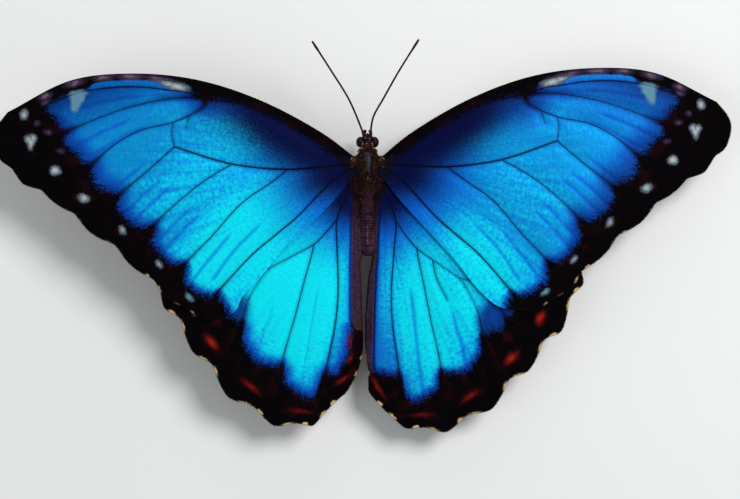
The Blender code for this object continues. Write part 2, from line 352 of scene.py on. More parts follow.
def write_marks(piece: bpy.types.Object, marks: dict[str, np.ndarray]) -> None:
    """Stores each marking on the mesh's vertices under its own name.

    Args:
        piece: The piece that is marked.
        marks: Each marking's name and its value at each vertex.
    """
    for name, values in marks.items():
        layer = piece.data.attributes.get(name)
        layer = layer or piece.data.attributes.new(name, "FLOAT", "POINT")
        layer.data.foreach_set("value", np.asarray(values, np.float32).ravel())


def ball_shares(piece: bpy.types.Object) -> np.ndarray:
    """How far along its path each vertex of a swept limb lies, from 0 to 1.

    Args:
        piece: The swept limb.

    Returns:
        The share for each vertex.
    """
    values = np.empty(len(piece.data.vertices), np.float32)
    piece.data.attributes["along"].data.foreach_get("value", values)
    return values.astype(float)


def write_map(piece: bpy.types.Object, name: str, places: np.ndarray) -> None:
    """Gives the mesh a UV map from one place for each vertex.

    Args:
        piece: The piece that is unwrapped.
        name: The map's name.
        places: Each vertex's place on the map.
    """
    mesh = piece.data
    layer = mesh.uv_layers.get(name) or mesh.uv_layers.new(name=name)
    corner = np.empty(len(mesh.loops), np.int32)
    mesh.loops.foreach_get("vertex_index", corner)
    layer.data.foreach_set("uv", places[corner].astype(np.float32).ravel())


def sweep(name: str, path: np.ndarray, radius: np.ndarray, segments: int,
          rings: int) -> bpy.types.Object:
    """Draws a ball out along a path into a closed limb with rounded ends.

    Args:
        name: The piece's name.
        path: Evenly spaced places along the limb's middle.
        radius: The limb's radius at evenly spaced places along it.
        segments: Faces round the limb.
        rings: Faces along the limb.

    Returns:
        The closed limb.
    """
    piece = add_ball(name, segments, rings)
    share, turn = ball_angles(piece)
    along = 0.75 * share + 0.25 * (1 - np.cos(math.pi * share)) / 2
    tangent = unit(np.gradient(path, axis=0))
    across = np.cross(tangent[0], (0.0, 0.0, 1.0))
    frames = []
    for t in tangent:
        across = across - t * np.dot(across, t)
        across = across / np.linalg.norm(across)
        frames.append(across)
    side = np.array(frames)
    thick = read_line(radius[:, None], along)[:, 0]
    to_end = np.minimum(along, 1 - along) * arc_lengths(path)[-1]
    thick = thick * np.sqrt(np.clip(1 - (1 - np.clip(to_end / thick, 0, 1)) ** 2, 0, 1))
    points = (read_line(path, along)
              + (thick * np.cos(turn))[:, None] * unit(read_line(side, along))
              + (thick * np.sin(turn))[:, None] * unit(read_line(np.cross(side, tangent), along)))
    points[:, 2] = np.maximum(points[:, 2], 0.0)
    place_vertices(piece, points)
    outward(piece)
    write_marks(piece, {"along": along})
    return piece


def round_limb(path: np.ndarray, radius: np.ndarray, share: np.ndarray, turn: np.ndarray,
               aside: tuple) -> tuple:
    """Finds places on a limb's skin.

    Args:
        path: Evenly spaced places along the limb's middle.
        radius: The limb's radius at evenly spaced places along it.
        share: How far along the limb each place lies, from 0 to 1.
        turn: Each place's turn round the limb.
        aside: Any direction that the limb never points in.

    Returns:
        The limb's middle, the outward direction, the limb's own direction and its radius at
        each place.
    """
    tangent = unit(read_line(np.gradient(path, axis=0), share))
    side = unit(np.cross(tangent, aside))
    out = side * np.cos(turn)[:, None] + np.cross(tangent, side) * np.sin(turn)[:, None]
    return read_line(path, share), out, tangent, read_line(radius[:, None], share)


# ------------------------------------------------------------------ shader wiring

FLOAT, VECTOR, COLOUR = "NodeSocketFloat", "NodeSocketVector", "NodeSocketColor"
COAT_MARKS = ("Stripe", "Mauve", "Pale", "Dark", "Rust", "Tint")


@dataclass(frozen=True)
class Wire:
    """A node's output, which adds, subtracts and multiplies like a number."""

    board: "Board"
    socket: bpy.types.NodeSocket

    def __add__(self, other: "Wire | float") -> "Wire":
        """The sum, as a node."""
        return self.board.calc("ADD", self, other)

    def __sub__(self, other: "Wire | float") -> "Wire":
        """The difference, as a node."""
        return self.board.calc("SUBTRACT", self, other)

    def __rsub__(self, other: float) -> "Wire":
        """A number less this output, as a node."""
        return self.board.calc("SUBTRACT", other, self)

    def __mul__(self, other: "Wire | float") -> "Wire":
        """The product, as a node."""
        return self.board.calc("MULTIPLY", self, other)

    def __abs__(self) -> "Wire":
        """The value without its sign, as a node."""
        return self.board.calc("ABSOLUTE", self)


Value = Wire | float | Colour


class Board:
    """Adds shader nodes to one tree and wires them together."""

    def __init__(self, tree: bpy.types.NodeTree) -> None:
        """Keeps the tree to work in."""
        self.tree = tree

    def add(self, kind: str, inputs: dict, output: int | str = 0, **settings: object) -> Wire:
        """Adds a node.

        Args:
            kind: The node's type.
            inputs: What goes into its sockets, by name or number.
            output: The socket that is used.
            settings: The node's own options.

        Returns:
            That socket's output.
        """
        node = self.tree.nodes.new(kind)
        for key, value in settings.items():
            setattr(node, key, value)
        self.fill(node, inputs)
        return Wire(self, node.outputs[output])

    def fill(self, node: bpy.types.Node, inputs: dict) -> None:
        """Links a node's sockets to outputs, or sets their plain values.

        Args:
            node: The node.
            inputs: What goes in, by socket name or number.
        """
        for key, value in inputs.items():
            socket = node.inputs[key]
            if isinstance(value, Wire):
                self.tree.links.new(value.socket, socket)
            elif isinstance(value, tuple) and socket.type == "RGBA":
                socket.default_value = (*value, 1.0)
            else:
                socket.default_value = value

    def mark(self, name: str) -> Wire:
        """The value of a marking stored on the mesh."""
        return self.add("ShaderNodeAttribute", {}, "Fac", attribute_name=name)

    def object_mm(self) -> Wire:
        """The place on the piece in millimetres."""
        source = self.add("ShaderNodeTexCoord", {}, "Object")
        return self.add("ShaderNodeMapping", {"Scale": (1 / MM,) * 3, "Vector": source})

    def rows(self, across: float, along: float) -> Wire:
        """The place on the wing's own rows of scales, stretched each way."""
        source = self.add("ShaderNodeUVMap", {}, uv_map=ROWS_MAP)
        return self.add("ShaderNodeMapping", {"Scale": (across, along, 1.0), "Vector": source})

    def calc(self, operation: str, a: Value, b: Value = 0.0) -> Wire:
        """One Math node."""
        return self.add("ShaderNodeMath", {0: a, 1: b}, operation=operation)

    def ramp(self, value: Wire, low: float, high: float, start: float = 0.0,
             end: float = 1.0) -> Wire:
        """A soft step of a value from start at low to end at high.

        Args:
            value: What is read.
            low: Where the step starts.
            high: Where it ends, which may lie below low.
            start: The result at low.
            end: The result at high.

        Returns:
            The step's value.
        """
        if low > high:
            low, high, start, end = high, low, end, start
        return self.add("ShaderNodeMapRange",
                        {"Value": value, "From Min": low, "From Max": high, "To Min": start,
                         "To Max": end}, interpolation_type="SMOOTHSTEP", clamp=True)

    def blend(self, share: Wire, under: Value, over: Value) -> Wire:
        """A colour that goes from under to over as the share grows."""
        return self.add("ShaderNodeMix", {0: share, 6: under, 7: over}, 2, data_type="RGBA",
                        blend_type="MIX")

    def noise(self, vector: Wire, scale: float, detail: float = 2.0,
              roughness: float = 0.5) -> Wire:
        """A cloudy noise between 0 and 1."""
        return self.add("ShaderNodeTexNoise", {"Vector": vector, "Scale": scale,
                                               "Detail": detail, "Roughness": roughness}, "Fac")

    def cloud(self, vector: Wire, scale: float, detail: float, roughness: float, low: float,
              high: float) -> Wire:
        """A noise pulled apart into patches between low and high."""
        return self.ramp(self.noise(vector, scale, detail, roughness), low, high)

    def cells(self, vector: Wire, scale: float) -> Wire:
        """The distance from the middle of each cell of a Voronoi pattern."""
        return self.add("ShaderNodeTexVoronoi", {"Vector": vector, "Scale": scale}, "Distance",
                        feature="F1")

    def bump(self, height: Wire, strength: float, distance: float) -> Wire:
        """A normal roughened by a height."""
        return self.add("ShaderNodeBump", {"Strength": strength, "Distance": distance,
                                           "Height": height})

    def use(self, group: bpy.types.NodeTree, inputs: dict) -> dict[str, Wire]:
        """Places a node group, feeds its inputs and gives its outputs by name."""
        first = self.add("ShaderNodeGroup", inputs, node_tree=group)
        return {socket.name: Wire(self, socket) for socket in first.socket.node.outputs}


def new_group(name: str, inputs: dict[str, str], outputs: dict[str, str]) -> tuple:
    """Makes an empty shader node group.

    Args:
        name: The group's name.
        inputs: Each input's name and socket type.
        outputs: Each output's name and socket type.

    Returns:
        The group, a board for it, its inputs by name and its output node.
    """
    group = bpy.data.node_groups.new(name, "ShaderNodeTree")
    for way, sockets in (("INPUT", inputs), ("OUTPUT", outputs)):
        for key, kind in sockets.items():
            group.interface.new_socket(name=key, in_out=way, socket_type=kind)
    board = Board(group)
    given = group.nodes.new("NodeGroupInput")
    wires = {key: Wire(board, given.outputs[key]) for key in inputs}
    return group, board, wires, group.nodes.new("NodeGroupOutput")


@cache
def scale_powder() -> bpy.types.NodeTree:
    """The fine grain of wing scales: speckle, cross rows and height.

    Returns:
        A group that turns a place and a place on the rows into Speckle, Rows and Height.
    """
    group, board, given, made = new_group("scale_powder", {"Place": VECTOR, "Rows": VECTOR},
                                          {"Speckle": FLOAT, "Rows": FLOAT, "Height": FLOAT})
    bands = board.cloud(given["Rows"], 1.0, 2.5, 0.62, 0.34, 0.66)
    grain = board.noise(given["Place"], 11.0, 1.0, 0.5)
    board.fill(made, {"Speckle": board.cloud(given["Place"], 3.3, 3.0, 0.75, 0.32, 0.68),
                      "Rows": bands, "Height": bands * 0.6 + grain * 0.5})
    return group


@cache
def coat_tones() -> bpy.types.NodeTree:
    """The body's colours, shared by its skin and its hair.

    Returns:
        A group that turns the body's markings into Colour and Height.
    """
    group, board, given, made = new_group(
        "coat_tones", {"Place": VECTOR, **{key: FLOAT for key in COAT_MARKS}},
        {"Colour": COLOUR, "Height": FLOAT})
    cloud = board.cloud(given["Place"], 1.5, 3.0, 0.65, 0.34, 0.68)
    fleck = board.cloud(given["Place"], 5.0, 2.0, 0.6, 0.40, 0.66)
    mauve, tint = given["Mauve"], given["Tint"]
    umber = board.blend(cloud, (0.0040, 0.0012, 0.0012), (0.030, 0.0105, 0.0070))
    plum = board.blend(cloud, (0.016, 0.0045, 0.0110), (0.058, 0.020, 0.043))
    # the stripe's blue-grey, partly painted sheen
    slate = board.blend(fleck, (0.018, 0.018, 0.045), (0.160, 0.160, 0.300))
    glint = board.blend(mauve, (0.230, 0.115, 0.055), (0.190, 0.105, 0.155))
    stripe = board.ramp(given["Stripe"] + (cloud - 0.5) * 0.55, 0.15, 0.85)
    lift = board.ramp(tint, 0.66, 1.0, 0.0, 0.9) * fleck
    colour = umber
    for share, tone in ((mauve, plum), (given["Rust"], (0.040, 0.0075, 0.0065)),
                        (stripe, slate), (lift, glint), (given["Pale"], (0.46, 0.38, 0.30)),
                        (given["Dark"], (0.004, 0.002, 0.003)),
                        (board.ramp(tint, 0.35, 0.0, 0.0, 0.65), (0.003, 0.002, 0.003))):
        colour = board.blend(share, colour, tone)
    board.fill(made, {"Colour": colour, "Height": cloud + fleck})
    return group


@cache
def cuticle_grain() -> bpy.types.NodeTree:
    """The fine dimpled grain of bare cuticle.

    Returns:
        A group that turns a place and two colours into Colour, Roughness and Height.
    """
    group, board, given, made = new_group(
        "cuticle_grain", {"Place": VECTOR, "Dark": COLOUR, "Light": COLOUR},
        {"Colour": COLOUR, "Roughness": FLOAT, "Height": FLOAT})
    cloud = board.cloud(given["Place"], 2.4, 3.0, 0.6, 0.35, 0.70)
    board.fill(made, {"Colour": board.blend(cloud, given["Dark"], given["Light"]),
                      "Roughness": board.ramp(cloud, 0.0, 1.0, 0.32, 0.55),
                      "Height": cloud - board.cells(given["Place"], 9.0)})
    return group


# ------------------------------------------------------------------ finishes

@dataclass(frozen=True)
class Finish:
    """A material that is built once. Each kind of finish wires its own."""

    name: str

    @cache
    def material(self) -> bpy.types.Material:
        """Builds the finish when it is first asked for.

        Returns:
            The material.
        """
        material = bpy.data.materials.new(self.name)
        material.use_nodes = True
        board = Board(material.node_tree)
        board.fill(material.node_tree.nodes["Principled BSDF"], self.sockets(board))
        return material

    def sockets(self, board: Board) -> dict[str, Value]:
        """What goes into each of the shader's sockets."""
        raise NotImplementedError


@dataclass(frozen=True)
class BlueScales(Finish):
    """The wings' upper face: powdery blue, black border, white, red and cream markings."""

    name: str = "blue_scales"
    cyan: Colour = (0.0035, 0.72, 0.82)
    sky: Colour = (0.0035, 0.29, 0.74)
    azure: Colour = (0.0035, 0.25, 0.56)
    ultra: Colour = (0.0035, 0.080, 0.58)
    royal: Colour = (0.0020, 0.037, 0.215)
    dusk: Colour = (0.0012, 0.0045, 0.040)
    navy: Colour = (0.0012, 0.0026, 0.034)
    soot: Colour = (0.0010, 0.0004, 0.0007)
    rust: Colour = (0.0140, 0.0016, 0.0016)
    white: Colour = (0.40, 0.44, 0.42)
    halo: Colour = (0.055, 0.080, 0.115)
    mist: Colour = (0.100, 0.225, 0.300)
    plum: Colour = (0.050, 0.030, 0.075)
    pink: Colour = (0.33, 0.21, 0.21)
    brick: Colour = (0.060, 0.0022, 0.0018)
    flame: Colour = (0.29, 0.014, 0.006)
    cream: Colour = (0.58, 0.41, 0.19)
    umber: Colour = (0.056, 0.021, 0.026)
    bark: Colour = (0.012, 0.0036, 0.0048)

    @staticmethod
    def comb(board: Board) -> Wire:
        """The comb of scales that breaks up the blue's rim."""
        return board.noise(board.rows(2.6, 0.30), 1.0, 2.0, 0.6) - 0.5

    def blue_field(self, board: Board, speckle: Wire, rows: Wire) -> Wire:
        """Works out the blue: brightened by painted sheen in the middle, royal at its rim, navy by
        the body, where the navy is partly painted shade.

        Args:
            board: Where the nodes go.
            speckle: The scales' speckle.
            rows: The scales' cross rows.

        Returns:
            The blue field's colour.
        """
        ramp = board.ramp
        ripple, grit = rows - 0.5, speckle - 0.5
        streak = board.noise(board.rows(1.1, 0.05), 1.0, 3.0, 0.6) - 0.5
        mottle = board.noise(board.object_mm(), 1.7, 2.0, 0.6) - 0.5
        bright, deep, vein = board.mark("bright"), board.mark("deep"), board.mark("vein")
        # painted sheen: the bright mark turns the blue cyan, broken up by random mottle and streaks
        heat = bright + ripple * 0.20 + streak * 0.75 + mottle * 0.85 + grit * 0.12
        calm = ramp(bright, 0.95, 1.45, 1.0, 0.25)
        rich = board.blend(board.mark("upper"), self.ultra, self.royal)
        verge = board.mark("blue") + self.comb(board) * 3.0 + grit * -1.2
        dots = ramp(speckle, 0.42, 0.12) * ramp(deep, 0.15, 0.80, 0.0, 0.60)
        blue = board.blend(ramp(bright, 0.05, 0.65), self.azure, self.sky)
        for share, tone in (
                (ramp(heat, 0.0, 1.0), self.cyan),
                (ramp(mottle * 2.4 + (ripple + grit), 0.10, -1.20, 0.0, 0.34) * calm, self.ultra),
                (ramp(streak, 0.02, -0.25, 0.0, 0.24) * calm, self.ultra),
                (ramp(deep + grit * 0.40, 0.0, 1.05), rich),
                # painted shade: deeper blue along the creases of the wing's folds
                (ramp(board.mark("fold"), 0.62, 0.02, 0.0, 0.60), rich),
                (ramp(vein, 0.60, 0.0, 0.0, 0.40), self.royal),
                (board.mark("apex"), self.dusk),
                (ramp(verge, 1.7, -0.7, 0.0, 0.80), self.dusk),
                (dots, self.dusk),
                (ramp(board.mark("shade") + grit * 0.20, 0.0, 1.0), self.navy),
                (ramp(vein, 0.15, 0.02, 0.0, 0.75), self.navy)):
            blue = board.blend(share, blue, tone)
        return blue

    def sockets(self, board: Board) -> dict[str, Value]:
        """Wires the border, the blue over it and then each marking in turn.

        Args:
            board: Where the nodes go.

        Returns:
            What goes into each of the shader's sockets.
        """
        powder = board.use(scale_powder(), {"Place": board.object_mm(),
                                            "Rows": board.rows(0.95, 2.0)})
        speckle = powder["Speckle"]
        blue = self.blue_field(board, speckle, powder["Rows"])
        streaks = board.cloud(board.rows(0.55, 0.30), 1.0, 3.0, 0.65, 0.46, 0.72)
        border = board.blend(streaks * board.mark("rust"), self.soot, self.rust)
        reach = board.ramp(board.mark("blue") + self.comb(board) * 1.3, -1.15, 1.45)
        plain = board.ramp(reach - (speckle * 0.8 + 0.1), -0.20, 0.20)
        colour = board.blend(plain, border, blue)
        jitter = (speckle - 0.5) * 0.22
        grainy = board.blend(board.ramp(speckle, 0.15, 0.85), self.bark, self.umber)
        grainy = board.blend(board.mark("bark"), grainy, self.bark)
        for mark, soft, strength, low, high in (("lilac", 0.40, 0.85, self.plum, self.pink),
                                                ("mist", 0.30, 0.95, self.mist, self.mist),
                                                ("white", 0.16, 0.97, self.halo, self.white),
                                                ("red", 0.24, 0.95, self.brick, self.flame),
                                                ("cream", 0.14, 1.0, self.cream, self.cream),
                                                ("brown", 0.26, 0.96, grainy, grainy)):
            depth = board.mark(mark) + jitter
            tone = low if low == high else board.blend(board.ramp(depth, 0.05, 0.80), low, high)
            share = board.ramp(depth, -soft, soft, 0.0, strength)
            colour = board.blend(share, colour, tone)
            plain = plain * (1.0 - share)
        seam = board.ramp(abs(board.mark("brown") + 0.18), 0.34, 0.10, 0.0, 0.75)
        return {"Base Color": board.blend(seam, colour, self.dusk),
                "Metallic": board.ramp(plain, 0.0, 1.0, 0.0, 0.35),
                "Roughness": board.ramp(plain, 0.0, 1.0, 0.85, 0.50),
                "Specular IOR Level": 0.03,
                "Normal": board.bump(powder["Height"], 0.35, 0.00006)}


@dataclass(frozen=True)
class UnderScales(Finish):
    """The wings' lower face: brown, with pale bands and ringed eye spots."""

    name: str = "under_scales"
    brown: Colour = (0.085, 0.050, 0.030)
    dark: Colour = (0.030, 0.017, 0.012)
    tan: Colour = (0.26, 0.19, 0.12)
    rust: Colour = (0.17, 0.050, 0.020)

    def sockets(self, board: Board) -> dict[str, Value]:
        """Wires the brown ground, the bands along the edge and the eye spots' rings.

        Args:
            board: Where the nodes go.

        Returns:
            What goes into each of the shader's sockets.
        """
        place = board.object_mm()
        powder = board.use(scale_powder(), {"Place": place, "Rows": board.rows(0.62, 1.5)})
        grit = powder["Speckle"] - 0.5
        colour = board.blend(board.cloud(place, 0.35, 3.0, 0.55, 0.35, 0.65), self.dark, self.brown)
        colour = board.blend(powder["Rows"] * 0.25, colour, self.tan)
        margin = board.mark("margin") + grit * 0.3
        for middle, half, tone in ((1.0, 0.30, self.tan), (2.1, 0.55, self.rust),
                                   (3.3, 0.30, self.tan), (8.6, 0.7, self.tan)):
            share = board.ramp(abs(margin - middle), half, half * 0.5, 0.0, 0.8)
            colour = board.blend(share, colour, tone)
        ring = board.mark("ring") + grit * 0.06
        for outer, tone in ((1.06, self.tan), (0.96, (0.020, 0.012, 0.010)),
                            (0.80, (0.42, 0.30, 0.07)), (0.62, (0.012, 0.008, 0.010)),
                            (0.30, (0.10, 0.020, 0.012)), (0.14, (0.80, 0.82, 0.80))):
            colour = board.blend(board.ramp(ring, outer + 0.03, outer - 0.03), colour, tone)
        line = board.ramp(board.mark("vein"), 0.45, 0.10, 0.0, 0.55)
        return {"Base Color": board.blend(line, colour, self.tan), "Roughness": 0.78,
                "Specular IOR Level": 0.2,
                "Normal": board.bump(powder["Height"], 0.4, 0.00006)}


@dataclass(frozen=True)
class CoatFinish(Finish):
    """The body's skin or hair, in the same markings."""

    roughness: float
    relief: float

    def sockets(self, board: Board) -> dict[str, Value]:
        """Wires the body's colours to its markings.

        Args:
            board: Where the nodes go.

        Returns:
            What goes into each of the shader's sockets.
        """
        marks = {key: board.mark(key.lower()) for key in COAT_MARKS}
        tones = board.use(coat_tones(), {"Place": board.object_mm(), **marks})
        return {"Base Color": tones["Colour"], "Roughness": self.roughness,
                "Specular IOR Level": 0.06, "Sheen Weight": 0.01,
                "Normal": board.bump(tones["Height"], self.relief, 0.00005)}


@dataclass(frozen=True)
class Cuticle(Finish):
    """Bare cuticle, from a dark and a light tone."""

    dark: Colour
    light: Colour
    relief: float = 0.4
    coat: float = 0.0
    gloss: float = 0.3

    def sockets(self, board: Board) -> dict[str, Value]:
        """Wires the dimpled grain in the two tones.

        Args:
            board: Where the nodes go.

        Returns:
            What goes into each of the shader's sockets.
        """
        grain = board.use(cuticle_grain(), {"Place": board.object_mm(), "Dark": self.dark,
                                            "Light": self.light})
        return {"Base Color": grain["Colour"], "Roughness": grain["Roughness"],
                "Specular IOR Level": self.gloss, "Coat Weight": self.coat,
                "Normal": board.bump(grain["Height"], self.relief, 0.00004)}


@dataclass(frozen=True)
class FringeFinish(Finish):
    """The wing edges' fringe scales: black, and cream at the notches."""

    name: str = "fringe_scales"

    def sockets(self, board: Board) -> dict[str, Value]:
        """Wires the dark scales, brown by the body and cream at the notches.

        Args:
            board: Where the nodes go.

        Returns:
            What goes into each of the shader's sockets.
        """
        colour = board.blend(board.noise(board.object_mm(), 1.5), (0.0012, 0.0008, 0.001),
                             (0.008, 0.0035, 0.003))
        colour = board.blend(board.mark("brown"), colour, (0.034, 0.012, 0.012))
        return {"Base Color": board.blend(board.mark("cream"), colour, (0.50, 0.36, 0.18)),
                "Roughness": 0.8, "Specular IOR Level": 0.05}


@dataclass(frozen=True)
class VeinFinish(Finish):
    """The raised veins: black, dusted with blue scales where they cross the blue."""

    name: str = "vein_cuticle"

    def sockets(self, board: Board) -> dict[str, Value]:
        """Wires the black cuticle and its dust of blue.

        Args:
            board: Where the nodes go.

        Returns:
            What goes into each of the shader's sockets.
        """
        dust = board.cloud(board.object_mm(), 2.0, 3.0, 0.6, 0.40, 0.62)
        colour = board.blend(dust * board.ramp(board.mark("blue"), 0.4, 2.0),
                             (0.0008, 0.0006, 0.0014), (0.0018, 0.014, 0.085))
        return {"Base Color": board.blend(board.mark("brown"), colour, (0.010, 0.004, 0.005)),
                "Roughness": 0.6, "Specular IOR Level": 0.04}


@dataclass(frozen=True)
class EyeGloss(Finish):
    """A compound eye: black-brown, glossy and faceted."""

    name: str = "eye_gloss"
    facets_per_mm: float = 15.0

    def sockets(self, board: Board) -> dict[str, Value]:
        """Wires the dark lens, its facets and its pale rim, which is a painted highlight.

        Args:
            board: Where the nodes go.

        Returns:
            What goes into each of the shader's sockets.
        """
        place = board.object_mm()
        dark = board.blend(board.cloud(place, 1.4, 2.0, 0.5, 0.35, 0.7),
                           (0.0015, 0.0012, 0.0015), (0.010, 0.005, 0.004))
        # painted highlight: the pale stroke on the lens's inner rear
        rim = board.ramp(board.mark("rim"), 0.30, 0.85)
        lens = board.cells(place, self.facets_per_mm)
        return {"Base Color": board.blend(rim, dark, (0.55, 0.50, 0.42)),
                "Roughness": board.ramp(rim, 0.0, 1.0, 0.22, 0.6),
                "Specular IOR Level": 0.10, "Coat Weight": 0.03, "Coat Roughness": 0.08,
                "Normal": board.bump(lens, 0.35, 0.00002)}


@dataclass(frozen=True)
class Paper(Finish):
    """The studio's pale floor."""

    name: str = "studio_paper"

    def sockets(self, board: Board) -> dict[str, Value]:
        """Wires the floor's faint clouds.

        Args:
            board: Where the nodes go.

        Returns:
            What goes into each of the shader's sockets.
        """
        tone = board.noise(board.object_mm(), 0.02)
        return {"Base Color": board.blend(tone, (0.72, 0.72, 0.71), (0.76, 0.76, 0.75)),
                "Roughness": 0.9}


SKIN = CoatFinish("body_skin_coat", 0.8, 0.8)
HAIR = CoatFinish("body_hair_coat", 0.62, 0.3)
LEG = Cuticle("leg_cuticle", (0.010, 0.006, 0.005), (0.040, 0.022, 0.015))
FEELER = Cuticle("feeler_cuticle", (0.003, 0.002, 0.002), (0.020, 0.013, 0.012), 0.3, 0.0, 0.10)
TONGUE = Cuticle("tongue_cuticle", (0.020, 0.010, 0.006), (0.075, 0.040, 0.020), 0.3, 0.4)


# ------------------------------------------------------------------ hairs and scales

@dataclass
class Vanes:
    """Many thin closed hairs or scales of one shape, gathered before they become one mesh."""

    name: str
    seed: int
    sets: list = field(default_factory=list)
    widest: float = 0.42
    flatness: float = 0.35
    bend: float = 0.10

    def __post_init__(self) -> None:
        """Starts the vanes' own random numbers."""
        self.random = np.random.default_rng(self.seed)

    def grow(self, roots: np.ndarray, along: np.ndarray, flat: np.ndarray, length: np.ndarray,
             width: np.ndarray, places: np.ndarray, marks: dict) -> None:
        """Adds a set of vanes.

        Args:
            roots: Where each vane starts, in body millimetres.
            along: The direction that each grows in.
            flat: The direction that each one's flat side faces.
            length: Each vane's length.
            width: Each vane's greatest width.
            places: Each root's place on the skin's own unwrap, from 0 to 1.
            marks: Each marking's value for each vane.
        """
        self.sets.append((roots, unit(along), flat, np.column_stack([length, width]), places,
                          marks))

    def template(self) -> tuple[np.ndarray, list]:
        """Models one vane: a three-sided spike, widest a third of the way up and bent over.

        Returns:
            Its vertex places, with z along it from 0 to 1, and its faces.
        """
        deselect()
        bpy.ops.mesh.primitive_cylinder_add(vertices=3, radius=0.5, depth=1.0,
                                            location=(0, 0, 0.5))
        piece = bpy.context.object
        bpy.ops.object.transform_apply(location=True)
        bpy.ops.object.mode_set(mode="EDIT")
        bpy.ops.mesh.select_all(action="SELECT")
        bpy.ops.mesh.bisect(plane_co=(0, 0, self.widest), plane_no=(0, 0, 1))
        bpy.ops.object.mode_set(mode="OBJECT")
        places = unit_places(piece)
        faces = [tuple(face.vertices) for face in piece.data.polygons]
        bpy.data.objects.remove(piece)
        taper = np.interp(places[:, 2], (0, self.widest, 1), (0.62, 1.0, 0.14))
        places[:, 0] *= taper
        places[:, 1] *= taper * self.flatness
        places[:, 1] -= self.bend * np.sin(math.pi * places[:, 2])
        return places, faces

    def build(self, finish: Finish, slot: str) -> bpy.types.Object:
        """Makes the one mesh of all vanes.

        Args:
            finish: Its finish.
            slot: Not used.

        Returns:
            The coat piece, with its markings and its bake map.
        """
        shape, faces = self.template()
        *parts, marks = zip(*self.sets)
        roots, along, flat, sizes, places = (np.vstack(part) for part in parts)
        side = unit(np.cross(along, flat))
        length, width = sizes[:, 0, None, None], sizes[:, 1, None, None]
        points = (roots[:, None]
                  + shape[None, :, 0, None] * side[:, None] * width
                  + shape[None, :, 1, None] * np.cross(side, along)[:, None] * width
                  + shape[None, :, 2, None] * along[:, None] * length)
        step = len(shape)
        mesh = bpy.data.meshes.new(self.name)
        spots = points.reshape(-1, 3) * MM + ORIGIN
        every = [tuple(v + k * step for v in f) for k in range(len(roots)) for f in faces]
        mesh.from_pydata(spots.tolist(), [], every)
        piece = bpy.data.objects.new(self.name, mesh)
        bpy.context.scene.collection.objects.link(piece)
        for key in sorted(set().union(*marks)):
            each = np.concatenate([np.broadcast_to(some.get(key, 0.0), len(part)).astype(float)
                                   for some, part in zip(marks, parts[0])])
            write_marks(piece, {key: np.repeat(each, step)})
        patch = (shape[:, (0, 2)] - (0.0, 0.5)) * BAKE_PATCH
        spread = places[:, None, :] + patch[None]
        write_map(piece, BAKE_MAP, spread.reshape(-1, 2))
        mesh.materials.append(finish.material())
        mesh.shade_smooth()
        outward(piece)
        return finish_piece(piece)


def finish_piece(piece: bpy.types.Object, nodes: tuple = (),
                 finish: Finish | None = None, angle: float = 70.0) -> bpy.types.Object:
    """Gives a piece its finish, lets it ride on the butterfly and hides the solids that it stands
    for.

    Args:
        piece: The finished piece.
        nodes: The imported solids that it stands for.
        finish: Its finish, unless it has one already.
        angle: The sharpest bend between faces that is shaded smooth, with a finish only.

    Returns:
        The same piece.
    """
    if finish:
        piece.data.materials.clear()
        piece.data.materials.append(finish.material())
        smooth_faces(piece, angle)
    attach(piece, "root")
    if nodes:
        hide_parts(*nodes)
    log.info("%s: %d faces", piece.name, len(piece.data.polygons))
    return piece


# ------------------------------------------------------------------ wings

# The wings' level over the body, how far they arch over SPAN, and how far their rear and their
# leading edge droop, in millimetres.
WING_TOP = 8.00
ARCH = 1.20
TAIL_DROOP = 2.40
COSTA_DROOP = 0.50
SPAN = 57.0
FAN_ANGLE = 50.0
# How far the hindwing's shelf and its fold go down, and how much of their width they lose.
FOLD_DROP = 0.93
FOLD_KEEP = 0.25
SHELF_DROP = 0.28
SHELF_KEEP = 0.96
# Where the forewing's lean starts, by the angle out from straight back, and its share there.
LEAN_START = ((38, 45, 56, 67, 77, 84), (33.5, 36.3, 38.8, 40.8, 45.2, 49.8))
LEAN_SHARE = ((38, 56, 67, 80), (1, 0.5, 0.3, 0))
# Where along y each droop and the fold start, and over how many millimetres they come on.
TAIL_RUN = (-2.0, 40.0)
COSTA_RUN = (6.0, 12.0)
FOLD_RUN = (-3.2, 4.0)
# Between these places the hindwing's shelf widens from the side's own width to a full one.
SHELF_ENDS = (-16.5, -14.5)
# The greatest depth that a spot's marking states, and the flat box that the wings' coats unwrap to.
MARK_REACH = 4.0
UNWRAP_BOX = ((-5.0, -44.0), (60.0, 17.0))


class Layer(Enum):
    """Which wing of a pair, and how far it lies above the wings' middle level in mm."""

    FORE = 0.27
    HIND = -0.27


@dataclass(frozen=True)
class Cell:
    """One scallop of the outer edge: where its vein ends, its notch, the notch's place and
    shape, how strongly cream shows beside the notch, and in how many parts it is cut."""

    end: tuple
    notch: float
    place: float = 0.5
    power: float = 1.6
    cream: float = 0.0
    parts: int = 4


@dataclass(frozen=True)
class Vein:
    """A wing vein: the places it passes, its radius at root and tip, and whether it notches
    the blue where it leaves it and stands out as a rib."""

    line: tuple
    root: float = 0.062
    tip: float = 0.045
    notch: bool = True
    raised: bool = True


@dataclass(frozen=True)
class WingPlan:
    """A wing spread flat round its hinge, for the right side: outline, veins and markings."""

    costa: tuple
    cells: tuple
    inner: tuple
    veins: tuple
    folds: tuple
    blue: tuple
    rings: tuple
    rows: int
    fineness: int
    white: tuple = ()
    mist: tuple = ()
    lilac: tuple = ()
    red: tuple = ()


@dataclass(frozen=True)
class Hold:
    """How one wing is held: its hinge, sweep, stretch and lean, and the ovals where its blue is
    brightened by painted sheen.

    A sweep turns the wing outwards about its hinge, and a stretch scales it. Each is a pair, for
    the part of the wing that points straight back and for the part past FAN_ANGLE, because a
    wing opens like a fan. A lean turns only the forewing's outer half, behind its leading edge,
    or only the hindwing's rear corner.
    """

    hinge: tuple
    painted_sheen: tuple
    sweep: tuple = (0.0, 0.0)
    stretch: tuple = (1.0, 1.0)
    lean: float = 0.0


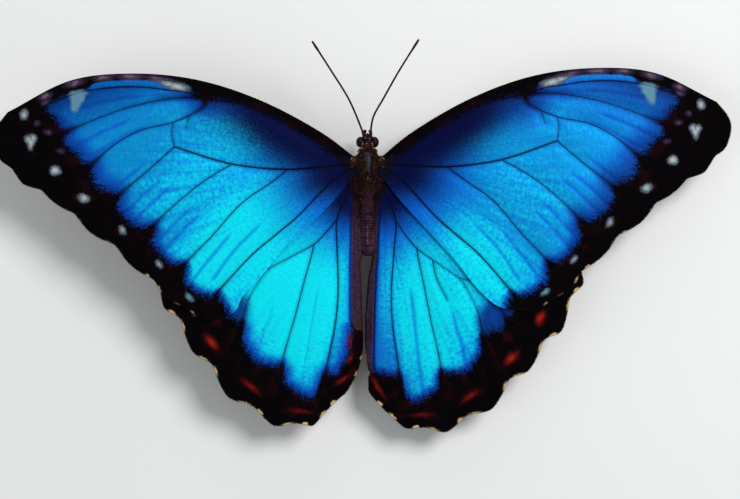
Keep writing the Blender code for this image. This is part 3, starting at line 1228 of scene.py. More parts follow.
@dataclass(frozen=True)
class Side:
    """How one side of the butterfly is held and marked.

    Lift is how many degrees the wings rise outwards. The fold line is where the hindwing's
    trailing strip turns down after a level shelf, the brown line is how far out its brown
    reaches, and tail_dark is where its blue ends at the rear, all as (y, x). Dusk is where the
    forewing's blue starts to turn royal, is all royal, starts to go dark and is dark, and rim
    and rim_dark are how wide and how dark its deep rim is there; this darkening is partly the
    wing's own deeper blue and partly painted shade, so each side has its own. The other hind
    fields are what only this side's hindwing shows, and fade is how far the painted shade in
    its creases is weakened and its deep rim widened.
    """

    name: str
    sign: int
    lift: float
    fore: Hold
    hind: Hold
    fold_line: tuple
    brown_line: tuple
    antenna: tuple
    hind_red: tuple
    dusk: tuple
    rim: float
    rim_dark: float
    tail_dark: tuple = ()
    hind_white: tuple = ()
    hind_veins: tuple = ()
    fade: float = 0.0
    shelf: float = 0.35


FOREWING = WingPlan(
    costa=((-0.95, 0.25), (4.5, 4.7), (14.9, 10.7), (25.3, 14.45), (35.8, 15.85), (46.1, 15.1),
           (56.8, 10.2)),
    cells=(Cell((58.5, 2.2), -1.82, 0.5, 1.0), Cell((54.9, -1.9), 0.52, 0.42, parts=3),
           Cell((49.5, -5.4), 0.78), Cell((44.0, -10.4), 0.79, 0.46, cream=0.10),
           Cell((37.4, -16.2), 1.0, 0.54, cream=0.32), Cell((32.1, -21.8), 1.0, 0.6, cream=0.6),
           Cell((25.7, -25.7), 0.2, cream=0.35)),
    inner=((-0.95, -1.9), (2.7, -6.6), (7.8, -12.2), (12.1, -16.9), (16.3, -22.1), (19.7, -24.8),
           (25.7, -25.7)),
    veins=(Vein(((-0.3, 0.6), (4.7, 4.35), (14.9, 10.3), (24.0, 13.7), (30.5, 15.1)), 0.20,
                0.08, False),
           Vein(((-0.3, 0.1), (7.1, 4.3), (12.3, 7.6), (17.5, 10.0), (23.8, 11.3), (27.4, 12.5),
                 (30.7, 12.95), (33.2, 13.4), (37.2, 13.68), (41.2, 13.5), (44.5, 13.05),
                 (47.5, 12.2), (52.0, 10.3), (56.4, 6.6)), 0.20, 0.045, False),
           Vein(((18.5, 10.6), (26.5, 13.6), (33.0, 14.9), (41.5, 15.1), (47.6, 14.2)), 0.09,
                0.05, False),
           Vein(((24.0, 11.5), (29.9, 11.4), (36.7, 10.2), (42.7, 8.3), (48.3, 6.0),
                 (52.9, 2.7), (54.6, -1.5))),
           Vein(((24.0, 11.3), (24.3, 9.9), (25.7, 9.0), (29.4, 7.5), (35.0, 6.3), (39.3, 4.1),
                 (43.5, 0.7), (49.2, -5.0)), 0.075),
           Vein(((29.4, 7.5), (29.7, 6.0), (29.4, 3.4)), 0.05),
           Vein(((26.7, 8.3), (27.4, 6.5)), 0.04, 0.03),
           Vein(((-0.4, -0.5), (5.5, -0.8), (10.7, -1.0), (19.9, 0.2), (29.4, 3.4)), 0.26, 0.06),
           Vein(((29.4, 3.4), (33.8, -0.3), (38.9, -4.4), (43.7, -10.0)), 0.065),
           Vein(((19.9, 0.2), (23.1, -1.5), (27.4, -4.4), (33.3, -10.0), (37.1, -15.8))),
           Vein(((10.7, -1.0), (13.9, -3.4), (18.4, -6.6), (23.8, -12.8), (27.4, -16.5),
                 (31.8, -21.4)), 0.075),
           Vein(((-0.3, -0.9), (2.7, -2.9), (6.7, -7.2), (8.9, -9.6), (12.5, -12.7), (16.1, -15.8),
                 (20.6, -20.9), (23.4, -24.2)), 0.17, 0.06)),
    folds=(((30.9, 7.6), (36.7, 5.9), (43.6, 2.2)), ((31.0, 12.1), (38.5, 11.7), (46.0, 10.2)),
           ((33.6, 8.9), (39.8, 6.9), (47.3, 3.4)), ((32.2, 2.2), (36.8, -1.0), (41.4, -5.0)),
           ((27.6, -1.2), (33.0, -5.4), (37.4, -9.9)), ((29.2, -0.2), (34.8, -4.4), (38.4, -8.0)),
           ((23.6, -6.6), (28.6, -11.4), (32.9, -16.6)), ((24.6, -4.6), (30.4, -10.6),
                                                         (33.6, -14.2)),
           ((18.2, -9.6), (24.6, -17.6), (27.2, -21.4)), ((13.0, -8.4), (19.4, -15.0),
                                                         (22.8, -20.0))),
    blue=((-1.0, 0.6), (1.9, 0.5), (7.1, 4.2), (12.3, 7.5), (17.5, 9.9), (21.4, 11.0),
          (23.6, 11.0), (25.2, 11.8), (26.4, 12.9), (27.9, 13.9), (30.3, 14.1), (33.3, 14.6),
          (37.2, 14.8), (41.2, 14.6), (42.9, 14.1), (44.0, 13.3), (46.6, 12.8), (49.0, 12.0),
          (50.2, 10.7), (49.2, 8.7), (47.8, 6.6), (47.7, 4.4), (46.1, 3.3), (45.2, 1.8),
          (43.6, 0.3), (42.8, -2.4),
          (39.8, -4.1), (39.0, -6.9), (37.3, -9.0), (35.4, -10.3), (33.4, -10.6), (33.4, -12.7),
          (32.1, -15.2), (30.2, -16.9), (28.0, -17.7), (27.7, -20.4), (25.2, -22.4),
          (23.2, -23.2), (21.6, -23.4), (20.6, -26.0), (14.0, -26.0), (-2.0, -8.0)),
    white=(Spot(54.15, 9.7, 0.80, 0.98), Spot(52.75, 5.65, 0.72, 0.78),
           Spot(53.55, 5.55, 0.72, 0.80), Spot(53.15, 5.05, 0.80, 0.85),
           Spot(53.2, 4.5, 0.52, 0.90), Spot(49.2, 0.2, 0.98, 0.90),
           Spot(44.7, -4.6, 1.15, 0.74, 20), Spot(38.4, -10.4, 1.0, 0.62, 62),
           Spot(32.3, -16.7, 0.85, 0.52, 62), Spot(28.5, 13.40, 2.1, 0.78, 12),
           Spot(30.2, 13.95, 1.5, 0.62, 16)),
    mist=(Spot(45.0, 12.75, 1.32, 0.62, -4), Spot(45.15, 12.1, 1.18, 0.95, -2),
          Spot(45.4, 11.4, 0.92, 1.20, 4), Spot(45.6, 10.7, 0.60, 0.95, 10),
          Spot(27.4, -22.3, 0.62, 0.36, 40)),
    lilac=(Spot(31.6, 14.72, 2.4, 0.50, 10), Spot(36.2, 15.30, 2.3, 0.52, 3),
           Spot(40.7, 15.30, 1.6, 0.50, -2), Spot(45.6, 14.60, 1.5, 0.52, -12),
           Spot(50.5, 12.6, 1.0, 0.52, -22), Spot(50.6, 11.6, 0.60, 0.35, -20),
           Spot(52.0, 8.1, 0.42, 0.34), Spot(50.3, 6.6, 0.50, 0.36), Spot(48.2, 3.4, 0.44, 0.30)),
    rings=(Spot(46.5, 6.5, 1.5, 1.5), Spot(42.4, 2.0, 2.2, 2.2), Spot(37.4, -2.6, 1.8, 1.8),
           Spot(27.8, -11.6, 2.6, 2.6)),
    rows=160,
    fineness=7,
)

HINDWING = WingPlan(
    costa=((-0.75, 0.6), (7.5, 2.2), (17.0, 0.2), (26.0, -4.8), (33.3, -12.2)),
    cells=(Cell((34.7, -17.0), 0.0, parts=2), Cell((30.9, -25.3), 1.4, 0.35, cream=1.0),
           Cell((25.2, -32.1), 1.6, 0.33, cream=1.0), Cell((18.95, -38.8), 1.65, 0.34, cream=1.0),
           Cell((11.05, -42.8), 1.25, 0.48, cream=1.0), Cell((4.1, -42.1), 0.62, 0.54, cream=1.0),
           Cell((-1.9, -35.7), -0.1, cream=1.0), Cell((-3.7, -26.5), 0.2, cream=0.4)),
    inner=((-0.95, -1.3), (-1.7, -6.0), (-2.5, -12.0), (-3.3, -19.5), (-3.7, -26.5)),
    veins=(Vein(((-0.4, -0.4), (1.3, -3.2), (2.4, -6.8), (2.2, -10.0), (1.6, -19.0),
                 (1.9, -25.0), (2.7, -30.1), (3.2, -34.3), (3.9, -41.5)), 0.12, 0.045),
           Vein(((2.3, -6.4), (4.2, -9.1), (5.9, -11.1), (8.7, -13.1), (11.2, -14.8),
                 (13.4, -16.2), (15.6, -16.6)), 0.075, 0.03),
           Vein(((5.9, -11.1), (6.3, -13.4), (7.0, -16.6), (8.5, -24.1), (10.0, -30.9),
                 (11.0, -42.2))),
           Vein(((12.8, -15.8), (13.9, -17.1), (15.3, -19.6), (16.4, -22.0), (17.3, -27.0),
                 (18.8, -38.2)), 0.045),
           Vein(((15.6, -16.6), (19.0, -20.0), (22.5, -25.6), (25.0, -31.5))),
           Vein(((11.0, -7.0), (15.0, -10.0), (23.0, -17.0), (30.5, -24.8))),
           Vein(((0.0, -0.2), (6.0, -3.0), (16.0, -6.4), (26.0, -10.8), (34.2, -16.7)), 0.14),
           Vein(((0.2, 0.2), (7.0, 1.2), (16.0, -0.8), (26.5, -6.3)), 0.12, 0.06, False),
           Vein(((-0.2, -0.8), (-0.5, -6.0), (-1.0, -14.0), (-1.3, -24.0), (-1.2, -34.3)),
                0.10, 0.05, False, False)),
    folds=(((10.6, -19.0), (11.4, -20.6), (12.4, -23.4), (13.0, -26.0)),
           ((4.6, -15.0), (5.3, -21.6), (6.5, -31.8), (7.2, -36.0)),
           ((12.0, -22.0), (12.8, -24.1), (14.1, -29.8), (14.9, -33.0)),
           ((16.5, -16.5), (19.4, -22.5), (21.6, -28.0)), ((20.0, -15.5), (26.6, -22.4))),
    blue=((-6.0, -2.0), (-6.0, -30.0), (-2.4, -31.7), (-1.4, -32.1), (0.5, -32.6), (2.7, -33.3),
          (3.7, -35.7), (4.9, -37.2), (6.5, -37.1), (8.4, -36.0), (9.8, -34.9), (10.1, -32.9),
          (11.3, -32.6), (13.8, -32.4), (15.7, -30.9), (17.1, -28.7), (17.4, -26.4),
          (18.4, -25.5), (20.7, -24.8), (21.6, -23.2), (22.6, -21.6), (24.6, -19.4),
          (26.4, -15.6), (27.4, -12.0), (24.0, -8.0), (16.0, -3.5), (6.0, -0.5), (-1.0, 0.5)),
    red=(Spot(27.0, -23.0, 1.45, 0.80, 68), Spot(22.1, -29.8, 1.60, 0.80, 42),
         Spot(15.1, -36.4, 1.80, 0.46, 36), Spot(6.8, -39.6, 1.60, 0.34, 2)),
    rings=(Spot(24.5, -13.5, 3.0, 3.0), Spot(20.6, -23.8, 1.9, 1.9), Spot(13.6, -29.6, 2.4, 2.4),
           Spot(6.6, -32.8, 2.0, 2.0)),
    rows=150,
    fineness=6,
)

# The sides differ in their ovals of painted sheen and in the painted shade set by dusk, rim and
# fade.
RIGHT = Side(
    name="right", sign=1, lift=-2.0,
    fore=Hold((2.80, 1.36), ((Spot(16.5, -17.0, 14.0, 7.0, -48), 0.85),
                             (Spot(24.0, -6.0, 14.0, 8.0, -42), 0.22))),
    hind=Hold((2.46, -2.38), ((Spot(8.0, -21.0, 17.0, 8.5, -82), 1.0),
                              (Spot(13.0, -21.0, 10.0, 6.0, -60), 0.9)), lean=-1.0),
    fold_line=((-4.0, 2.25), (-15.0, 2.15), (-18.5, 1.3), (-25.0, 0.75), (-45.0, 0.9)),
    brown_line=((-3.0, 2.2), (-10.0, 1.75), (-15.0, 1.6), (-17.0, 1.4), (-22.5, 1.1),
                (-29.0, 0.9), (-34.2, 0.75), (-35.0, -2.0)),
    antenna=((0.58, 5.60, 8.00), (0.64, 7.2, 8.4), (1.05, 8.95, 9.0), (2.62, 11.7, 10.2),
             (5.3, 16.3, 12.3), (8.6, 21.4, 14.6)),
    hind_red=(Spot(-0.2, -34.9, 2.0, 0.40, -53),),
    dusk=(4.0, 24.0, 17.0, 25.0),
    rim=6.5,
    rim_dark=0.9,
    hind_veins=(Vein(((8.6, -13.1), (9.3, -16.2), (10.4, -18.5), (11.2, -19.9)), 0.045, 0.02,
                     False),),
    shelf=0.9,
)

LEFT = Side(
    name="left", sign=-1, lift=2.5,
    fore=Hold((2.65, 1.30), ((Spot(17.5, -13.0, 19.0, 10.5, -47), 1.15),
                             (Spot(25.0, -2.0, 18.0, 9.0, -38), 0.42)),
              (-2.15, -2.15), (1.015, 1.015), 4.3),
    hind=Hold((2.46, -2.38), ((Spot(7.5, -20.5, 17.0, 9.0, -82), 1.5),
                              (Spot(13.0, -20.0, 11.0, 7.0, -60), 1.45)),
              (2.6, 6.0), (1.0, 0.965), 2.2),
    fold_line=((-4.0, 2.25), (-15.0, 2.15), (-18.5, 1.75), (-25.0, 1.6), (-30.0, 1.35),
               (-45.0, 1.2)),
    brown_line=((-3.0, 2.6), (-10.0, 2.7), (-17.0, 2.75), (-25.5, 2.75), (-27.0, 2.4),
                (-28.0, -2.0)),
    antenna=((0.58, 5.60, 8.00), (1.15, 7.15, 8.4), (3.13, 11.65, 10.2), (6.2, 16.5, 12.4),
             (9.25, 21.1, 14.6)),
    hind_red=(Spot(-0.3, -33.6, 1.25, 0.42, -45), Spot(-0.9, -30.0, 0.80, 0.42, -70),
              Spot(-0.6, -26.9, 1.30, 0.34, -85)),
    dusk=(9.0, 24.0, 20.0, 29.0),
    rim=3.0,
    rim_dark=0.45,
    tail_dark=((-22.0, 2.0), (-26.5, 2.5), (-30.0, 3.0), (-32.5, 3.6), (-33.8, 4.6),
               (-38.0, 6.0)),
    hind_white=(Spot(25.3, -25.6, 0.55, 0.45),),
    fade=0.26,
)
NOOK = Spot(19.3, -22.8, 6.0, 4.2, 60)


@dataclass
class Wing:
    """One wing: a thin scaled sheet, its veins, its fringe and the hairs at its root."""

    name: str
    plan: WingPlan
    side: Side
    layer: Layer
    seed: int
    thick: float = 0.13
    fringe: float = 0.30
    vane_gap: float = 0.075
    rib_share: float = 0.58
    puff: float = 0.13
    crease: float = 0.05
    wave: float = 0.10
    dash_away: float = 1.45
    dash_half: tuple = (0.80, 0.46)

    def __post_init__(self) -> None:
        """Notes which wing it is, how it's held and which veins and spots it shows."""
        self.fore = self.layer is Layer.FORE
        self.hold = self.side.fore if self.fore else self.side.hind
        self.veins, self.red, self.white = self.plan.veins, self.plan.red, self.plan.white
        if not self.fore:
            self.veins += self.side.hind_veins
            self.white += self.side.hind_white
            self.red = self.red[1 if self.side.hind_white else 0:] + self.side.hind_red

    def outer_edge(self) -> np.ndarray:
        """The scalloped outer edge with its notches slightly rounded.

        Returns:
            The edge's places, from the tip to the inner margin.
        """
        a = np.array(self.plan.costa[-1], float)
        points = [a]
        for cell in self.plan.cells:
            b = np.array(cell.end, float)
            inward = np.array([(b - a)[1], -(b - a)[0]]) / np.linalg.norm(b - a)
            steps = cell.parts * self.plan.fineness
            for k in range(1, steps + 1):
                s = k / steps
                near = s / cell.place if s < cell.place else (1 - s) / (1 - cell.place)
                if cell.notch < 0:
                    near = math.sin(math.pi * s)
                points.append(a + s * (b - a) + inward * cell.notch * max(near, 0) ** cell.power)
            a = b
        return soften(np.array(points), 4)

    def edge_normals(self, edge: np.ndarray) -> np.ndarray:
        """The outward direction at each place of the outer edge."""
        return unit(quarter_turn(soften(np.gradient(edge, axis=0), 3)))

    def flat_sheet(self) -> np.ndarray:
        """The flat sheet: rows run from the hinge to the outer edge, columns across it.

        Returns:
            The flat places, by row and column.
        """
        full = self.outer_edge()
        edge = full - self.edge_normals(full) * self.fringe * self.edge_taper(len(full))[:, None]
        rows = self.plan.rows
        front = smooth_path((*self.plan.costa[:-1], tuple(edge[0])), rows)
        back = smooth_path((*self.plan.inner[:-1], tuple(edge[-1])), rows)
        u = (np.linspace(0, 1, rows + 1) ** 0.92)[:, None, None]
        front, back = (read_line(line, u[:, 0, 0]) for line in (front, back))
        v = arc_lengths(edge)
        v = (v / v[-1])[None, :, None]
        root = front[0] + v * (back[0] - front[0])
        return ((1 - v) * front[:, None] + v * back[:, None] + (1 - u) * root + u * edge[None]
                - (1 - u) * (1 - v) * front[0] - (1 - u) * v * back[0]
                - u * (1 - v) * front[-1] - u * v * back[-1])

    @staticmethod
    def edge_taper(count: int) -> np.ndarray:
        """How much of the fringe shows along the edge: none at its two ends."""
        s = np.linspace(0, 1, count)
        return ease(s, 0.0, 0.03) * ease(s, 1.0, 0.97)

    def lay(self, flat: np.ndarray, rise: np.ndarray | float = 0.0) -> np.ndarray:
        """Opens a flat place of the wing, lays it on the wings' surface and mirrors it.

        Args:
            flat: Places round the hinge, one a row.
            rise: Height above the wing's middle surface.

        Returns:
            The places in body millimetres.
        """
        out = np.degrees(np.arctan2(flat[..., 0], -flat[..., 1]))
        share = np.clip(out / FAN_ANGLE, 0, 1)
        far = np.hypot(flat[..., 0], flat[..., 1])
        if self.fore:
            edge = np.interp(out, *LEAN_START)
            lean = np.interp(out, *LEAN_SHARE) * ease(far, edge, edge - 5.0)
        else:
            lean = ease(far, 31.0, 37.0) * ease(out, 9.0, 0.0)
        sweep_out, stretch, hinge = self.hold.sweep, self.hold.stretch, self.hold.hinge
        turn = np.radians(sweep_out[0] + (sweep_out[1] - sweep_out[0]) * share
                          + self.hold.lean * lean)
        scale = stretch[0] + (stretch[1] - stretch[0]) * share
        x = (flat[..., 0] * np.cos(turn) - flat[..., 1] * np.sin(turn)) * scale + hinge[0]
        y = (flat[..., 0] * np.sin(turn) + flat[..., 1] * np.cos(turn)) * scale + hinge[1]
        s = np.maximum(x - self.side.fore.hinge[0], 0.0)
        arch = ARCH * np.sin(np.pi * np.clip(s / SPAN, 0, 1))
        tail = TAIL_DROOP * np.clip((TAIL_RUN[0] - y) / TAIL_RUN[1], 0, 1) ** 1.5
        costa = COSTA_DROOP * np.clip((y - COSTA_RUN[0]) / COSTA_RUN[1], 0, 1) ** 2
        z = (WING_TOP + s * math.tan(math.radians(self.side.lift)) + arch - tail - costa
             + self.layer.value + rise)
        if not self.fore:
            spare = self.reach_at(self.side.fold_line, y) - x
            spare = np.maximum(spare, 0) * np.clip((FOLD_RUN[0] - y) / FOLD_RUN[1], 0, 1)
            shelf = self.side.shelf + (1.0 - self.side.shelf) * ease(y, *SHELF_ENDS)
            shelf = np.minimum(spare, shelf)
            steep = spare - shelf
            x = x + spare - shelf * SHELF_KEEP - steep * FOLD_KEEP
            z = z - shelf * SHELF_DROP - steep * FOLD_DROP
        return np.stack([x * self.side.sign, y, z], axis=-1)

    @staticmethod
    def reach_at(line: tuple, y: np.ndarray) -> np.ndarray:
        """How far out a line given as (y, x), front first, lies at each y."""
        back, out = zip(*line[::-1])
        return np.interp(y, back, out)

    def vein_gaps(self, flat: np.ndarray) -> tuple[np.ndarray, np.ndarray]:
        """The distances to the nearest vein, less part of its own radius, and nearest fold.

        Args:
            flat: Places round the hinge, one a row.

        Returns:
            Both distances in millimetres.
        """
        veins = [nearest_on_line(flat, smooth_path(v.line, 30))[0] - v.root * 0.4
                 for v in self.veins]
        folds = []
        for line in self.plan.folds:
            gap, along = nearest_on_line(flat, smooth_path(line, 16))
            folds.append(gap + 0.9 * ease(along, 5.0, 0.0))
        return np.maximum(np.min(veins, axis=0), 0), np.min(folds, axis=0)

    def cream_depth(self, flat: np.ndarray, gap: np.ndarray, along: np.ndarray) -> np.ndarray:
        """How deep each place lies in the cream dashes that flank the edge's notches.

        Args:
            flat: Places round the hinge, one a row.
            gap: Each place's distance to the outer edge.
            along: How far along the edge it lies.

        Returns:
            The depth in millimetres, below 0 outside the dashes.
        """
        depth = np.full(len(flat), ABSENT)
        reach = arc_lengths(self.outer_edge())
        start = 0
        for cell in self.plan.cells:
            steps = cell.parts * self.plan.fineness
            notch = np.interp(start + steps * cell.place, np.arange(len(reach)), reach)
            if cell.cream > 0:
                for away in (-self.dash_away, self.dash_away):
                    vary = 1 + 0.28 * math.sin(7.1 * start + 3.0 * away)
                    half = self.dash_half[0] * vary * (0.45 + 0.55 * cell.cream)
                    deep = self.dash_half[1] * (0.25 + 0.75 * cell.cream) * (2 - vary)
                    share = np.hypot((along - notch - away) / half, (gap - 0.05) / deep)
                    depth = np.maximum(depth, (1 - share) * deep)
            start += steps
        return depth

    def dark_parts(self, flat: np.ndarray) -> tuple[np.ndarray, np.ndarray]:
        """Where navy covers the blue, near the body and the leading edge, and royal blue. The navy
        is partly the wing's own dark scales and partly painted shade where the blue's sheen fades
        near the body.

        Args:
            flat: Places round the hinge, one a row.

        Returns:
            The share of navy and the share of royal blue.
        """
        out = np.linalg.norm(flat, axis=1)
        if self.fore:
            rib, _ = nearest_on_line(flat, smooth_path(self.plan.veins[1].line[:5], 24))
            front = ease(rib, 12.5, 1.2) * ease(flat[:, 0], 31.0, 13.0)
            base = ease(out + 0.5 * np.maximum(-flat[:, 1] - 0.6 * flat[:, 0], 0), 16.5, 3.5)
            trunk, along = nearest_on_line(flat, smooth_path(self.plan.veins[7].line[:3], 24))
            anal, reach = nearest_on_line(flat, smooth_path(self.plan.veins[11].line[:3], 24))
            smear = np.maximum(ease(trunk, 1.3, 0.2) * ease(along, 12.5, 6.0),
                               ease(anal, 1.0, 0.2) * ease(reach, 10.0, 4.0))
            return np.maximum(np.maximum(front, base), smear), ease(out, 25.0, 7.0) * 0.80
        strip = ease(flat[:, 0] - np.interp(-flat[:, 1], (0, 10, 19, 30, 35),
                                            (1.0, 2.2, 1.6, 2.7, 3.2)), 0.25, -0.1)
        low = ease(flat[:, 1], -19.0, -30.0)
        strip = strip * (0.12 + 0.36 * low + 0.35 * ease(flat[:, 1], -15.0, -8.0))
        deep = np.maximum(ease(out, 20.0, 6.0) * 0.8, ease(NOOK.share(flat), 1.1, 0.3))
        return ease(out, 12.0, 2.5), np.maximum(strip, deep)

    def brown_depth(self, points: np.ndarray) -> np.ndarray:
        """How deep each laid place lies in the hindwing's brown strip beside the abdomen.

        Args:
            points: Places in body millimetres, one a row.

        Returns:
            The depth in millimetres, below 0 outside the strip.
        """
        if self.fore:
            return np.full(len(points), ABSENT)
        return self.reach_at(self.side.brown_line, points[:, 1]) - points[:, 0] * self.side.sign

    def blue_ring(self) -> np.ndarray:
        """The outline of the blue as a closed ring."""
        return smooth_path(self.plan.blue + self.plan.blue[:1], 220)[:-1]

    def blue_depth(self, flat: np.ndarray, strip: np.ndarray) -> tuple[np.ndarray, np.ndarray]:
        """How deep each place lies in the blue, and in the dark wedges at the veins' ends.

        Args:
            flat: Places round the hinge, one a row.
            strip: The share of the clear strip behind the leading edge's dashes.

        Returns:
            The depth in millimetres, below 0 outside the blue, and the wedges' share.
        """
        blue = depth_inside(flat, self.blue_ring())
        notch = np.min([nearest_on_line(flat, smooth_path(v.line, 30))[0]
                        for v in self.plan.veins if v.notch], axis=0)
        wedge = ease(notch, 0.95, 0.15) * ease(blue, 6.0, 0.3)
        blue = blue - 0.9 * np.exp(-(notch / 0.5) ** 2) * ease(blue, 2.4, 0.6)
        blue = blue * (1 + 3.0 * ease(flat[:, 1], 12.2, 13.4) * self.fore)
        blue = np.where(blue > 0, blue * (1 + 2 * strip), blue)
        if self.side.tail_dark and not self.fore:
            x, y, _ = self.lay(flat).T
            room = x * self.side.sign - self.reach_at(self.side.tail_dark, y)
            blue = np.minimum(blue, room + 8 * ease(y, -26.6, -23.0))
        return blue, wedge

    def bright_strip(self, flat: np.ndarray) -> np.ndarray:
        """How far each place lies in the clear blue strip behind the leading edge's dashes.

        Args:
            flat: Places round the hinge, one a row.

        Returns:
            The strip's share, from 0 to 1.
        """
        x, y = flat[:, 0], flat[:, 1]
        rail = np.interp(x, (30.7, 33.2, 37.2, 41.2, 44.0), (12.95, 13.4, 13.68, 13.5, 13.1))
        return ease(y - rail, 0.10, 0.30) * ease(x, 29.5, 31.5) * ease(x, 43.4, 42.4) * self.fore

    def markings(self, flat: np.ndarray) -> dict[str, np.ndarray]:
        """Works out every marking at each flat place of the wing.

        Args:
            flat: Places round the hinge, one a row.

        Returns:
            Each marking's name and values, most of them depths in millimetres.
        """
        vein, fold = self.vein_gaps(flat)
        gap, along = nearest_on_line(flat, self.outer_edge())
        strip = self.bright_strip(flat)
        blue, wedge = self.blue_depth(flat, strip)
        shade, deep = self.dark_parts(flat)
        laid = self.lay(flat)
        climb = flat[:, 1] + 0.35 * (flat[:, 0] - 20.0)  # towards the forewing's tip
        if self.fore:
            # partly painted shade: the forewing's blue darkens towards its tip by this side's dusk
            # and rim
            start, full, dim, dark = self.side.dusk
            upper, apex = ease(climb, start, full), ease(climb, dim, dark)
            tone = np.maximum(upper, ease(blue, 7.0, 0.5) * self.side.rim_dark
                              * ease(climb, -20.0, 4.0))
            rim = 2.3 + self.side.rim * ease(climb, -16.0, 8.0)
            wedge = wedge * (0.35 + 0.40 * ease(climb, -14.0, 4.0))
        else:
            upper = apex = np.zeros(len(flat))
            tone = ease(NOOK.share(flat), 1.1, 0.3) * 0.9
            rim = 2.3 + 5.0 * self.side.fade
            wedge = wedge * 0.30
        # painted sheen: the ovals where the blue is painted brighter, standing for its iridescent
        # sheen seen from above
        painted_sheen = np.max([ease(spot.share(flat), 1.3, 0.2) * power for spot, power in self.hold.painted_sheen],
                      axis=0)
        rings = np.min([spot.share(flat) for spot in self.plan.rings], axis=0)
        wavy = flat + 0.08 * np.column_stack([np.sin(2.3 * flat[:, 1] + 1.1 * flat[:, 0]),
                                              np.sin(2.9 * flat[:, 0] - 1.7 * flat[:, 1])])
        brown = self.brown_depth(laid)
        deep = np.max([deep, ease(brown, -1.5, -0.1) * 0.85, upper * 0.95, ease(blue, rim, 0.0)],
                      axis=0)
        rusty = ease(np.abs(blue + 0.8), 3.2, 0.3) * (0.6 if self.fore else 1)
        spots = {"white": deepest(wavy, self.white), "mist": deepest(wavy, self.plan.mist),
                 "lilac": deepest(wavy, self.plan.lilac), "red": deepest(wavy, self.red),
                 "cream": self.cream_depth(flat, gap, along), "brown": brown}
        return {
            "vein": np.minimum(vein, 3.0),
            # fade weakens the painted crease shade on this side's hindwing
            "fold": np.minimum(fold + self.side.fade * (not self.fore), 3.0),
            "blue": np.clip(blue, -4, 8),
            "deep": deep * (1 - strip) + 0.62 * strip,
            "upper": tone * (1 - strip) + 0.45 * strip,
            "bark": ease(laid[:, 1], -11.5, -6.0) * 0.9,
            "apex": np.maximum(apex * 0.85, wedge) * (1 - strip),
            # painted sheen, with a little brightening of the clear strip
            "bright": np.maximum(painted_sheen * (1 - upper), strip * 0.10),
            "shade": shade,
            "margin": np.minimum(gap, 12.0),
            "ring": np.minimum(rings, 3.0),
            "rust": np.maximum(rusty, ease(deepest(flat, self.white + self.red), -1.0, -0.1)),
            "relief": self.relief(flat, vein, fold, gap, along),
            **{key: np.clip(depth, -MARK_REACH, MARK_REACH) for key, depth in spots.items()},
        }

    def relief(self, flat: np.ndarray, vein: np.ndarray, fold: np.ndarray, gap: np.ndarray,
               along: np.ndarray) -> np.ndarray:
        """How far the sheet stands above or below its middle surface at each place.

        Args:
            flat: Places round the hinge, one a row.
            vein: The distance to the nearest vein.
            fold: The distance to the nearest fold.
            gap: The distance to the outer edge.
            along: How far along the edge each place lies.

        Returns:
            The height in millimetres.
        """
        puff = self.puff * (1 - np.exp(-(vein / 1.3) ** 2))
        crease = self.crease * np.exp(-(fold / 0.38) ** 2)
        wave = self.wave * np.sin(along * 0.9) * np.exp(-gap / 3.5)
        return (puff - crease + wave) * ease(np.linalg.norm(flat, axis=1), 2.0, 9.0)

    def build_sheet(self, node: str) -> bpy.types.Object:
        """Makes the scaled sheet with its two faces.

        Args:
            node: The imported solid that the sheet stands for.

        Returns:
            The finished sheet.
        """
        flat = self.flat_sheet()
        deselect()
        bpy.ops.mesh.primitive_grid_add(x_subdivisions=flat.shape[1] - 1,
                                        y_subdivisions=flat.shape[0] - 1, size=2)
        piece = bpy.context.object
        piece.name = self.name
        places = flat.reshape(-1, 2)
        marks = self.markings(places)
        relief = marks.pop("relief")
        place_vertices(piece, self.lay(places, relief))
        write_marks(piece, marks)
        out = np.linalg.norm(places, axis=1)
        turn = np.arctan2(places[:, 1], places[:, 0])
        write_map(piece, ROWS_MAP, np.column_stack([turn * ROWS_PER_RADIAN, out]))
        if piece.data.polygons[len(piece.data.polygons) // 2].normal.z < 0:
            piece.data.flip_normals()
        piece.data.materials.append(BlueScales().material())
        piece.data.materials.append(UnderScales().material())
        pick(piece)
        shell = piece.modifiers.new("shell", "SOLIDIFY")
        shell.thickness = self.thick * MM
        shell.offset = 0.0
        shell.material_offset = 1
        bpy.ops.object.modifier_apply(modifier=shell.name)
        smooth_faces(piece, 60)
        return finish_piece(piece, (node,))

    def build_veins(self) -> bpy.types.Object:
        """Makes the raised veins as one piece.

        Returns:
            The finished veins.
        """
        ribs = []
        for k, vein in enumerate(v for v in self.veins if v.raised):
            length = arc_lengths(np.array(vein.line, float))[-1]
            steps = max(int(length / 0.5), 6)
            flat = smooth_path(vein.line, steps)
            top = self.markings(flat)["relief"] + self.thick / 2
            path = self.lay(flat, top - 0.005)
            radius = np.linspace(vein.root ** 0.5, vein.tip ** 0.5, 12) ** 2 * self.rib_share
            rib = sweep(f"{self.name}_vein_{k}", path, radius, 8, steps + 4)
            blue = depth_inside(flat, self.blue_ring())
            blue = blue * ease(self.dark_parts(flat)[0], 0.5, 0.0)
            brown = ease(self.brown_depth(path), -0.1, 0.2)
            values = read_line(np.column_stack([blue, brown]), ball_shares(rib))
            write_marks(rib, {"blue": values[:, 0], "brown": values[:, 1]})
            ribs.append(rib)
        piece = join(f"{self.name}_veins", ribs)
        return finish_piece(piece, finish=VeinFinish(), angle=80.0)

    def unwrap(self, flat: np.ndarray) -> np.ndarray:
        """A flat place of the wing on a unit square, for the coat's bake map."""
        low, high = np.array(UNWRAP_BOX)
        return (flat - low) / (high - low)

